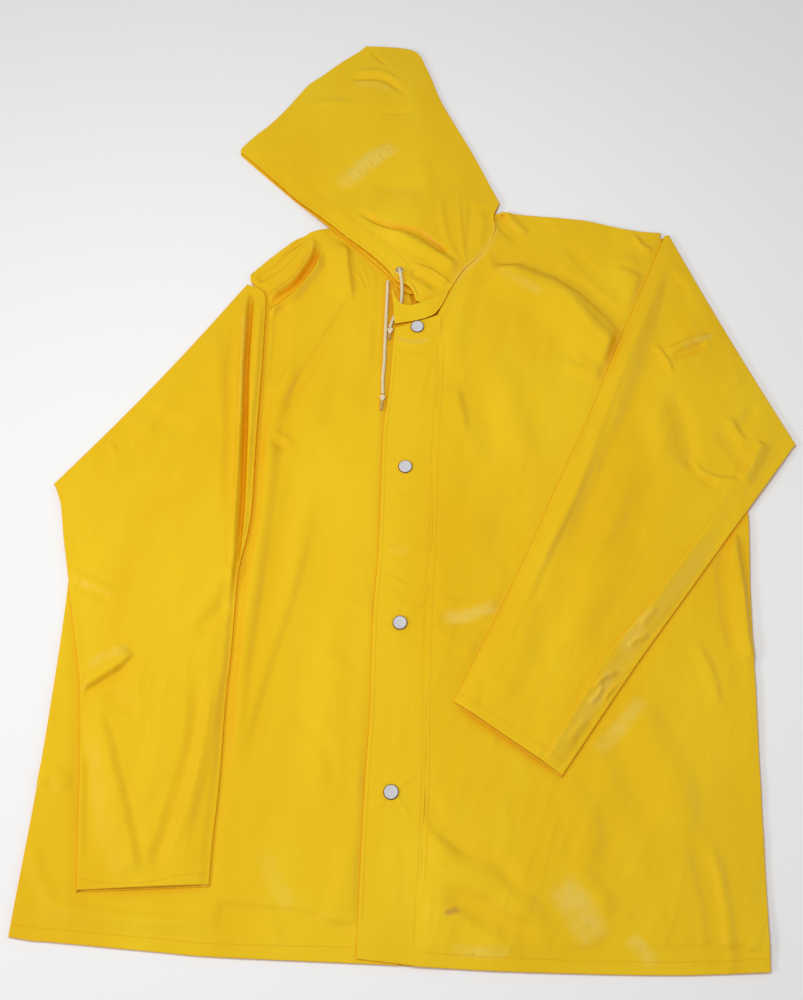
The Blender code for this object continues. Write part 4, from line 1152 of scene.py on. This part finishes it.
def left_front_top(x, y):
    """It climbs to the band's level at the band seam and to the hood's along the neckline, and
    its edge goes under theirs."""
    covered = ease(-12, -2, depth(PLAN_LEFT, x, y))
    to_band = 1.0 - ease(0, 46, x - BAND_RIGHT)
    neck = away_from(NECK_LINE, x, y)
    low_neck = 1.0 - ease(775, 825, y)
    to_neck = (1.0 - ease(1, 30, neck)) * low_neck
    ridge = 0.5 * (1.0 - ease(2.2, 5.2, neck)) * rising(0.25, low_neck)
    hem = ease(2, 26, away_from(HEM, x, y))
    at_seam = ease(0, 12, x - BAND_RIGHT)
    relief = front_relief(RELIEF_LEFT, x, y, hem, OPEN_SWELL * hem * ease(0, 22, neck))
    sewn = sewn_hem(x, y, 16, 32)
    sewn += groove(BAND_SEAM, x, y, SEAM_STITCHES, 1.3, 0.04) + puckers(BAND_SEAM, x, y, 5, 9, 14, 0.16, 33)
    climb = (BAND_TOP_LEVEL - FRONT_TOP) * np.maximum(to_band, to_neck) + ridge
    tucked = 0.3 * ease(-0.6, 0.9, beside(SEAM_AND_NECK, x, y)[0])
    return FRONT_TOP + climb - tucked + kept_over(
        (1.0 - covered) * (relief * rising(0.35, at_seam) + sewn), -DIP)


def band_top(x, y):
    """Level, with a mound round every snap and a row of stitches down either side."""
    mound = sum(np.exp(-((x - snap_x) ** 2 + (y - snap_y) ** 2) / 13.0 ** 2) for snap_x, snap_y in SNAPS)
    inside = ease(0, 5, away_from(BAND_EDGE, x, y))
    top = BAND_TOP_LEVEL + folded(RELIEF_BAND, x, y) * rising(0.4, inside)
    top += unevenness(RELIEF_BAND, x, y) + 0.75 * mound * (1 - 0.6 * ease(674, 684, y))
    top += (groove(BAND_EDGE, x, y, BAND_STITCHES, 1.3, 0.04)
            + groove(BAND_SEAM, x, y, BAND_STITCHES, 1.3, 0.04))
    top += puckers(BAND_SEAM, x, y, 4, 8, 13, 0.15, 34)
    return kept_over(top, BAND_TOP_LEVEL - BAND_DIP, 0.25)


def hood_under_level(x, y):
    """Underside of the lower layer: on the floor beyond the shoulders, on the coat before them."""
    shoulder_line = 795 + (x + 97) * 0.15
    on_coat = 1.0 - ease(shoulder_line + 14, shoulder_line + 54, y)
    on_front = 1.0 - ease(-2, 34, x)
    return on_coat * 1.7 * (1.0 + on_front)


def hood_under_top(x, y):
    return hood_under_level(x, y) + HOOD_LAYER + puckers(UNDER_FACE, x, y, 3, 9, 15, 0.3, 36)


def hood_top(x, y):
    """A low dome over the lower layer, held down at its seams and under the turned corner."""
    seam = away_from(HOOD_SEAM_LINE, x, y)
    from_corner = ease(2, 14, -depth(PLAN_CORNER, x, y))
    face = away_from(FACE_LINE, x, y)
    neck = away_from(NECK_LINE, x, y)
    relief = folded(RELIEF_HOOD, x, y) + unevenness(RELIEF_HOOD, x, y)
    swell = 1.6 * rising(0.35, ease(0, 26, face)) + 1.2 * ease(10, 80, seam) * ease(0, 60, face)
    dome = swell * ease(0, 16, neck) + relief * ease(0, 9, neck)
    casing = (groove(HOOD_FACE, x, y, CASING_STITCHES, 2.0, 0.16)
              + groove(HOOD_FACE, x, y, FACE_STITCHES, 1.5, 0.07))
    on_casing = ease(-210, -190, x) * ease(-50, -80, x)
    casing += puckers(HOOD_FACE, x, y, 16, 14, 11, 0.24, 35) * on_casing
    casing += puckers(HOOD_FACE, x, y, 21, 7, 6, 0.12, 37) * on_casing
    casing += (1.0 - ease(2, 10, np.abs(face - 12))) * 0.35
    by_eyelet = np.exp(-((x - EYELET[0]) ** 2 + (y - EYELET[1]) ** 2) / 7.0 ** 2)
    ridge = 0.5 * (1.0 - ease(2.2, 5.2, neck)) * ease(700, 730, y)
    top = (hood_under_level(x, y) + HOOD_EDGE_LIFT + ease(0, 34, seam) * from_corner * dome
           + casing * from_corner * ease(0, 12, seam) + ridge)
    top = top + (HOOD_AT_EYELET + 0.25 - top) * by_eyelet
    return np.maximum(top, hood_under_level(x, y) + 1.9)


def corner_top(x, y):
    """The turned corner of the hood lies on the band at its seam and arches over the cord."""
    low = away_from(CORNER_LOW, x, y)
    over_cord = 1.0 - ease(-16, 2, x)
    top = 5.7 + 0.8 * ease(0, 5, low) + 1.3 * np.maximum(ease(5, 18, low), over_cord)
    top = top + 0.2 * rolling(x, y, (26, 9), 71) * ease(0, 5, low)
    return top - 0.2 * (1 - ease(0, 1.4, np.abs(low - NECK_STITCHES)))


# ---- sleeves -----------------------------------------------------------------------------
SLEEVE_ROWS = 330           # rings of the part that is turned over
STAND_OUT = 1.0             # how far a sleeve's edges stand outside their paths
TURN_GROWTH = 2.7           # how much further out the middle of the turn is than the fold's line
# rings of the cuff's hem: mm that each is further in, and its share of the cuff's height
CUFF_HEM = [(-0.5, 0.90), (-0.7, 0.72), (-0.3, 0.58), (12.0, 0.52)]


def upper_skin(sleeve, relief, x, y, from_top, from_under):
    """Height of the upper skin of the part that is turned over."""
    from_fold = away_from(sleeve.fold, x, y)
    grown = 1.0 - np.exp(-from_fold / 24)
    pillow = ease(0, 22, from_top) * ease(0, 24, from_under)
    edge_at_top = sleeve.edge_lift(y) * (1 - ease(0, 20, from_top))
    edge_at_under = 1.1 * (1 - ease(0, 20, from_under))
    full = sleeve.fullness * ease(0, sleeve.slope, from_under) * ease(0, 26, from_top)
    thick = SKIN_GAP + grown * (edge_at_top + edge_at_under + 2.0 * pillow + full)
    bevel = 0.5 * ease(6, 40, from_fold) * (1 - ease(0, 10, from_top))
    edges = ease(0, 7, from_top) * ease(0, 9, from_under)
    strong = relief.strong * lift(relief.folds, x, y)
    faint = relief.faint * lift(relief.creases, x, y) + unevenness(relief, x, y)
    upper = (SLEEVE_UNDER + thick * (1 - bevel) + edges * ease(3, 18, from_fold) * strong
             + edges * ease(2, 22, from_fold) * faint)
    return kept_over(upper, SLEEVE_UNDER + 0.5, 0.25)


def side_of_tube(upper, lower, outward, turned, count=6):
    """Points down the side of a tube, from its upper skin to its lower one, for every ring at
    once: half round in the turn, and beyond it a shoulder that stands on the lower skin."""
    middle = (upper + lower) / 2
    arm = (upper - lower) / 2
    size = np.linalg.norm(arm, axis=1, keepdims=True)
    out = np.concatenate([outward, np.zeros((len(outward), 1))], axis=1)
    points = []
    for t in np.arange(1, count + 1) / (count + 1):
        half_round = middle + arm * math.cos(math.pi * t) + out * size * math.sin(math.pi * t)
        across, down = math.sin(math.pi * t / 2), 1 - math.cos(math.pi * t / 2)
        shoulder = upper + (lower - upper) * np.array([across, across, down])
        points.append(np.where(turned[:, None], half_round, shoulder))
    return np.stack(points, axis=1)


def turned_sleeve(sleeve, relief, paint):
    """A tube from the armhole, flat on the floor, round the fold line and on to the cuff."""
    top_way, under_way = walk(sleeve.top_edge), walk(sleeve.under_edge)
    fold_a, fold_b = (np.array(p, float) for p in sleeve.fold)
    arm_a, arm_b = (np.array(p, float) for p in sleeve.armhole)
    run = np.linalg.norm(fold_b - fold_a)
    side = math.copysign(1.0, fold_b[0] - fold_a[0])
    away = side * np.array([fold_a[1] - fold_b[1], fold_b[0] - fold_a[0]]) / run
    fine = spread(run, 2.0, 1.0, 12)
    coarse = np.linspace(0, 1, 15)
    # rings of the free part, closer together near the fold
    s = np.linspace(0, 1, SLEEVE_ROWS + 1)[1:]
    s = 0.25 * s ** 2 + 0.75 * s
    top, under = top_way(s), under_way(s)
    wide = np.linalg.norm(under - top, axis=1)
    outward = (under - top) / wide[:, None]
    top = top - outward * STAND_OUT
    under = under + outward * STAND_OUT
    wide = wide + 2 * STAND_OUT

    def plan(shares):
        bow = sleeve.bow * np.sin(math.pi * shares)[None, :, None] * away * np.exp(-s * 5)[:, None, None]
        return top[:, None] + (under - top)[:, None] * shares[None, :, None] + bow

    upper_xy, lower_xy = plan(fine), plan(coarse)
    upper_z = upper_skin(sleeve, relief, upper_xy[..., 0], upper_xy[..., 1],
                         fine[None, :] * wide[:, None], (1 - fine)[None, :] * wide[:, None])
    cuff_way = top[-1] + under[-1] - top[-6] - under[-6]
    cuff_way = cuff_way / np.linalg.norm(cuff_way)
    lower_xy = lower_xy + (cuff_way * 1.8) * ease(0.985, 1.0, s)[:, None, None]
    lower_xy[:, 0] -= outward * 0.6 * (upper_z[:, :1] - SLEEVE_UNDER)
    lower_xy[:, -1] += outward * 0.6 * (upper_z[:, -1:] - SLEEVE_UNDER)
    lower_z = np.full(lower_xy.shape[:2], SLEEVE_UNDER)
    upper = np.concatenate([upper_xy, upper_z[..., None]], axis=-1)
    lower = np.concatenate([lower_xy, lower_z[..., None]], axis=-1)
    # rings of the root, which has no turn, and of the turn
    turns = [None, None] + list(np.linspace(-0.5, 0.5, 12) * math.pi)
    early = {"upper": [], "lower": []}
    for k, turn in enumerate(turns):
        for skin, shares, radius in (("upper", fine, TURN_OUTSIDE), ("lower", coarse, TURN_INSIDE)):
            bend = sleeve.bow * np.sin(math.pi * shares)[:, None] * away
            fold_line = fold_a + (fold_b - fold_a) * shares[:, None] + away * TURN_GROWTH + bend
            if turn is None:
                root = arm_a + (arm_b - arm_a) * shares[:, None]
                xy = root + (fold_line - root) * (0.0 if k == 0 else 0.9)
                z = np.full(len(xy), TURN_LEVEL - radius)
            else:
                xy = fold_line + away * radius * math.cos(turn)
                z = np.full(len(xy), TURN_LEVEL + radius * math.sin(turn))
            early[skin].append(np.concatenate([xy, z[:, None]], axis=1))
    upper = np.concatenate([np.array(early["upper"]), upper])
    lower = np.concatenate([np.array(early["lower"]), lower])
    outward = np.concatenate([np.repeat([(fold_b - fold_a) / run], len(turns), axis=0), outward])
    # the cuff's hem turns in
    inward = np.concatenate([-cuff_way, [0.0]])
    middle = (upper[-1, :, 2] + np.interp(fine, coarse, lower[-1, :, 2])) / 2
    turned_in = []
    for skin, middle_z in ((upper, middle), (lower, np.interp(coarse, fine, middle))):
        rings = [skin]
        for further_in, share in CUFF_HEM:
            ring = skin[-1].copy()
            ring[:, 2] = middle_z + (ring[:, 2] - middle_z) * share
            rings.append((ring + inward * further_in)[None])
        turned_in.append(np.concatenate(rings))
    upper, lower = turned_in
    outward = np.concatenate([outward, np.repeat(outward[-1:], len(CUFF_HEM), axis=0)])
    turned = np.arange(len(upper)) < len(turns)
    rings = np.concatenate([upper, side_of_tube(upper[:, -1], lower[:, -1], outward, turned), lower[:, ::-1],
                            side_of_tube(upper[:, 0], lower[:, 0], -outward, turned)[:, ::-1]], axis=1)
    count, columns = rings.shape[:2]
    faces = quads(count, columns, wrap=True)
    points = rings.reshape(-1, 3)
    # the upper skin has to face up
    sample = points[faces[(count // 2) * columns + len(fine) // 2]]
    if np.cross(sample[1] - sample[0], sample[2] - sample[0])[2] < 0:
        faces = faces[:, ::-1]
    return piece(sleeve.name + "_cloth", points, faces, paint)


# ---- the coat ------------------------------------------------------------------------------
def hem_part(start, end):
    """The hem from one x to another, as an edge of a panel."""
    hem = walk(HEM)
    wide = LEFT_SIDE - RIGHT_SIDE
    first, last = (start - RIGHT_SIDE) / wide, (end - RIGHT_SIDE) / wide

    def at(share):
        share = np.asarray(share, float)
        low = hem(first + (last - first) * share)[..., 1]
        return np.stack([start + (end - start) * share, low], axis=-1)

    return at


def body_rows():
    """Rows up a front panel: close together over the hem, where it is stitched."""
    return np.concatenate([np.linspace(0, 0.02, 17), np.linspace(0.02, 1.0, 391)[1:]])


def make_body(cloth):
    right_edge = edge((0.533, SIDE_RIGHT), (0.967, ARMHOLE_RIGHT), (1.0, TIP_RIGHT))
    left_edge = edge((0.747, SIDE_LEFT), (0.967, ARMHOLE_LEFT), (1.0, TIP_LEFT))
    shoulders = edge((0.25, SHOULDER_RIGHT[:4]), (0.65, [(-97, 795), (90.5, 823)]), (1.0, SHOULDER_LEFT))
    back = laid_cloth("back_cloth", patch(
        hem_part(RIGHT_SIDE, LEFT_SIDE), shoulders, right_edge, left_edge,
        np.linspace(0, 1, 81), np.linspace(0, 1, 91)), back_top, cloth, roll=1.2)
    right = laid_cloth("right_front_cloth", patch(
        hem_part(RIGHT_SIDE, UNDERLAP), walk(SHOULDER_RIGHT), right_edge,
        edge((0.8, [(UNDERLAP, -3.8), (UNDERLAP, 664)]), (1.0, UNDER_NECKLINE)),
        spread(359, 2.1, 1.2, (8, 4)), body_rows()), right_front_top, cloth, roll=1.5)
    tucked_seam = [(x - TUCK, y) for x, y in BAND_SEAM]
    tucked_neck = [tuple(p) for p in beside_path(NECKLINE, TUCK)[2:-2]]
    tucked_nape = (NECKLINE[-1][0] - TUCK, NECKLINE[-1][1])
    left = laid_cloth("left_front_cloth", patch(
        hem_part(BAND_RIGHT - TUCK, LEFT_SIDE), walk([tucked_nape] + SHOULDER_LEFT[1:]),
        edge((0.8, tucked_seam), (1.0, [tucked_seam[-1]] + tucked_neck + [tucked_nape])), left_edge,
        spread(323, 2.1, 0.9, (16, 8)), body_rows()), left_front_top, cloth, roll=(1.5, 1.5, 1.2, 0.3),
        turned_in=3.0)
    # the band ends a hair short of its seam
    band = laid_cloth("band_cloth", patch(
        hem_part(BAND_LEFT, BAND_RIGHT - 0.1), walk(BAND_TOP), walk(BAND_EDGE),
        walk([(x - 0.1, y) for x, y in BAND_SEAM]), spread(55, 1.3, 0.8, 7), spread(690, 1.5, 1.0, 14)),
        band_top, cloth, roll=(1.3, 0.6, 0.8, 1.3), turned_in=4.0)
    return back, right, left, band


def make_hood(cloth):
    under = laid_cloth("hood_under_cloth", patch(
        edge((0.25, [UNDER_FACE[0], (0, 713), (30, 722)]), (1.0, [(30, 722)] + HOOD_NECK[1:])),
        walk(UNDER_TOP), walk(UNDER_FACE), walk(HOOD_BACK), spread(280, 4.0, 1.3, (14, 6)),
        np.linspace(0, 1, 91)), hood_under_top, cloth, roll=1.1, turned_in=5.0)
    over = laid_cloth("hood_over_cloth", patch(
        edge((0.2, [CHIN, (18, 697), (32, 701)]), (1.0, [(32, 701)] + HOOD_NECK)),
        walk(HOOD_TOP), walk(HOOD_FACE), walk(HOOD_BACK), spread(290, 1.35, 1.0, (28, 10)),
        np.linspace(0, 1, 261)), hood_top, cloth, roll=(0.35, 1.3, 1.3, 0.8), turned_in=5.0)
    corner = laid_cloth("hood_corner_cloth", patch(
        walk(CORNER_LOW), walk(CORNER_TOP), walk([CORNER_LOW[0], CORNER_TOP[0]]),
        walk([CORNER_LOW[-1], CORNER_TOP[-1]]), np.linspace(0, 1, 71), np.linspace(0, 1, 37)),
        corner_top, cloth, roll=(0.4, 0.4, 0.8, 0.8), turned_in=2.5)
    return under, over, corner


def beside_path(points, gap):
    """The points moved to the left of their path by the gap."""
    path = smooth_path(points, 4)
    course = np.gradient(path, axis=0)
    course /= np.linalg.norm(course, axis=1, keepdims=True)
    return path + np.stack([-course[:, 1], course[:, 0]], axis=-1) * gap


def make_snaps():
    cap, ring = moulded_cap(), dark_ring_and_gap_shade()
    outline = [(6.75, 0.15), (6.7, 0.9), (6.45, 1.35), (5.95, 1.6), (5.4, 1.6), (4.7, 1.35), (3.0, 1.15),
               (1.2, 1.12), (0.05, 1.12)]
    # the dark ring round the foot of a cap: partly steel, partly painted shade of the gap under the cap's
    # edge
    rim = [(7.4, -0.6), (7.45, 0.0), (7.32, 0.42), (7.1, 0.52), (6.9, 0.42), (6.75, 0.15)]
    for number, (x, y) in enumerate(SNAPS, start=1):
        shapes = [(cap, outline), (ring, rim)]
        snap = turned_piece(f"snap_cap_{number}", shapes, (x, y, SNAP_BASE))
        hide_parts(f"snap_{number}")


def make_eyelet():
    ring = [(4.5, -0.35), (4.4, 0.2), (3.9, 0.75), (3.3, 0.9), (2.75, 0.75), (2.4, 0.3), (2.35, -0.6),
            (2.35, -1.2)]
    place = (*EYELET, HOOD_AT_EYELET + 0.35)
    eyelet = turned_piece("eyelet_ring", [(nickel_plate(), ring)], place, 48)
    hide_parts("eyelet")


def light_the_scene():
    world = bpy.data.worlds.new("studio")
    bpy.context.scene.world = world
    world.use_nodes = True
    sky = world.node_tree.nodes["Background"].inputs
    sky["Color"].default_value = (1.0, 1.0, 1.0, 1.0)
    sky["Strength"].default_value = 0.36
    # discs of light: where each stands, what it faces, how wide and how strong it is
    for name, place, target, size, power in (
            ("key", (-0.28, -0.11, 1.28), (-0.06, 0.0, 0), 0.36, 7.4),
            ("left", (-2.3, -1.1, 1.35), (-0.05, 0, 0), 0.6, 19.0),
            ("right", (2.2, 0.3, 1.7), (0.05, 0, 0), 1.0, 5.0)):
        data = bpy.data.lights.new(name, "AREA")
        data.shape = "DISK"
        data.size = size
        data.energy = power
        lamp = bpy.data.objects.new(name, data)
        lamp.location = place
        lamp.rotation_euler = (Vector(target) - Vector(place)).to_track_quat("-Z", "Y").to_euler()
        lamp.visible_glossy = name != "key"
        bpy.context.scene.collection.objects.link(lamp)
    bpy.context.scene.view_settings.view_transform = "Standard"
    floor_mesh = bpy.data.meshes.new("floor")
    floor_mesh.from_pydata([(-6, -6, 0), (6, -6, 0), (6, 6, 0), (-6, 6, 0)], [], [(0, 1, 2, 3)])
    floor_mesh.materials.append(studio_floor())
    floor = bpy.data.objects.new("floor", floor_mesh)
    floor.location.z = -0.0004
    bpy.context.scene.collection.objects.link(floor)


set_camera()
make_cords()

body_cloth = coated_cloth("PVC-coated cotton, body", 0, 80)
right_sleeve_cloth = coated_cloth("PVC-coated cotton, right sleeve", 4, 75)
left_sleeve_cloth = coated_cloth("PVC-coated cotton, left sleeve", -26, 62)
hood_cloth = coated_cloth("PVC-coated cotton, hood", 38, 40)
thread = sewing_thread()

back, right_front, left_front, band = make_body(body_cloth)
right_sleeve = turned_sleeve(SLEEVE_RIGHT, RELIEF_SLEEVE_RIGHT, right_sleeve_cloth)
left_sleeve = turned_sleeve(SLEEVE_LEFT, RELIEF_SLEEVE_LEFT, left_sleeve_cloth)
hood_under, hood_over, hood_corner = make_hood(hood_cloth)
make_snaps()
make_eyelet()
# paler paint, partly from rubbing and partly painted highlight, and the real stains go on the pieces' points
for thing, wear_and_sheen, stains in (
        (right_front, WEAR_AND_SHEEN_RIGHT, ()), (left_front, WEAR_AND_SHEEN_LEFT, STAINS_LEFT), (band, WEAR_AND_SHEEN_BAND, ()),
        (hood_over, WEAR_AND_SHEEN_HOOD, ()), (right_sleeve, WEAR_AND_SHEEN_SLEEVE_RIGHT, ()),
        (left_sleeve, WEAR_AND_SHEEN_SLEEVE_LEFT, ())):
    paint_wear_sheen_and_stains(thing, wear_and_sheen, stains)

hem_left = [(x, y + HEM_STITCHES) for x, y in HEM if x > BAND_RIGHT]
hem_right = [(x, y + HEM_STITCHES) for x, y in HEM if x < BAND_LEFT]
cuff_right = [(-282.5, 60), (-264, 57), (-226, 58), (-192, 66), (-164, 70)]
cuff_left = [(63, 255), (168, 190)]
right_front_sewing, left_front_sewing, band_sewing, hood_sewing, right_sleeve_sewing, left_sleeve_sewing = (
    stitched(name, rows, tree_of(shell), thread) for name, shell, rows in (
        ("right_front_stitches", right_front, [hem_right + [(BAND_LEFT - 2, 10)]]),
        ("left_front_stitches", left_front, [[(BAND_RIGHT + 2, 8)] + hem_left,
                                             beside_path(BAND_SEAM, -SEAM_STITCHES)[2:-2]]),
        ("band_stitches", band, [beside_path(BAND_SEAM, BAND_STITCHES)[2:-2],
                                 beside_path(BAND_EDGE, -BAND_STITCHES)[2:-2]]),
        ("hood_stitches", hood_over, [beside_path(HOOD_FACE[3:], -CASING_STITCHES)[2:-8],
                                      beside_path(HOOD_FACE[3:], -FACE_STITCHES)[2:-3],
                                      beside_path(HOOD_NECK[:-1], NECK_STITCHES)[1:-1]]),
        ("right_sleeve_stitches", right_sleeve, [cuff_right]),
        ("left_sleeve_stitches", left_sleeve, [cuff_left, SEAM_LEFT_SLEEVE])))

for shell, node, flat, area, held, rests, extra in (
        (back, "back_panel", (0.705, 0.835), 0.540, "laid", [], []),
        (right_front, "front_right", (0.36, 0.80), 0.255, "laid", ["back_panel"], [right_front_sewing]),
        (left_front, "front_left", (0.33, 0.83), 0.262, "laid", ["back_panel"], [left_front_sewing]),
        (band, "front_band", (0.055, 0.69), 0.0379, "laid", ["front_right"], [band_sewing]),
        (right_sleeve, "sleeve_right", (0.625, 0.66), 0.205, "folded", ["front_right"],
         [right_sleeve_sewing]),
        (left_sleeve, "sleeve_left", (0.582, 0.61), 0.209, "folded", ["front_left"],
         [left_sleeve_sewing]),
        (hood_under, "hood_right", (0.28, 0.33), 0.068, "laid", ["back_panel"], []),
        (hood_over, "hood_left", (0.30, 0.36), 0.072, "folded", ["hood_right"], [hood_sewing]),
        (hood_corner, "hood_corner", (0.062, 0.03), 0.0018, "folded", ["front_band"], [])):
    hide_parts(node)

light_the_scene()
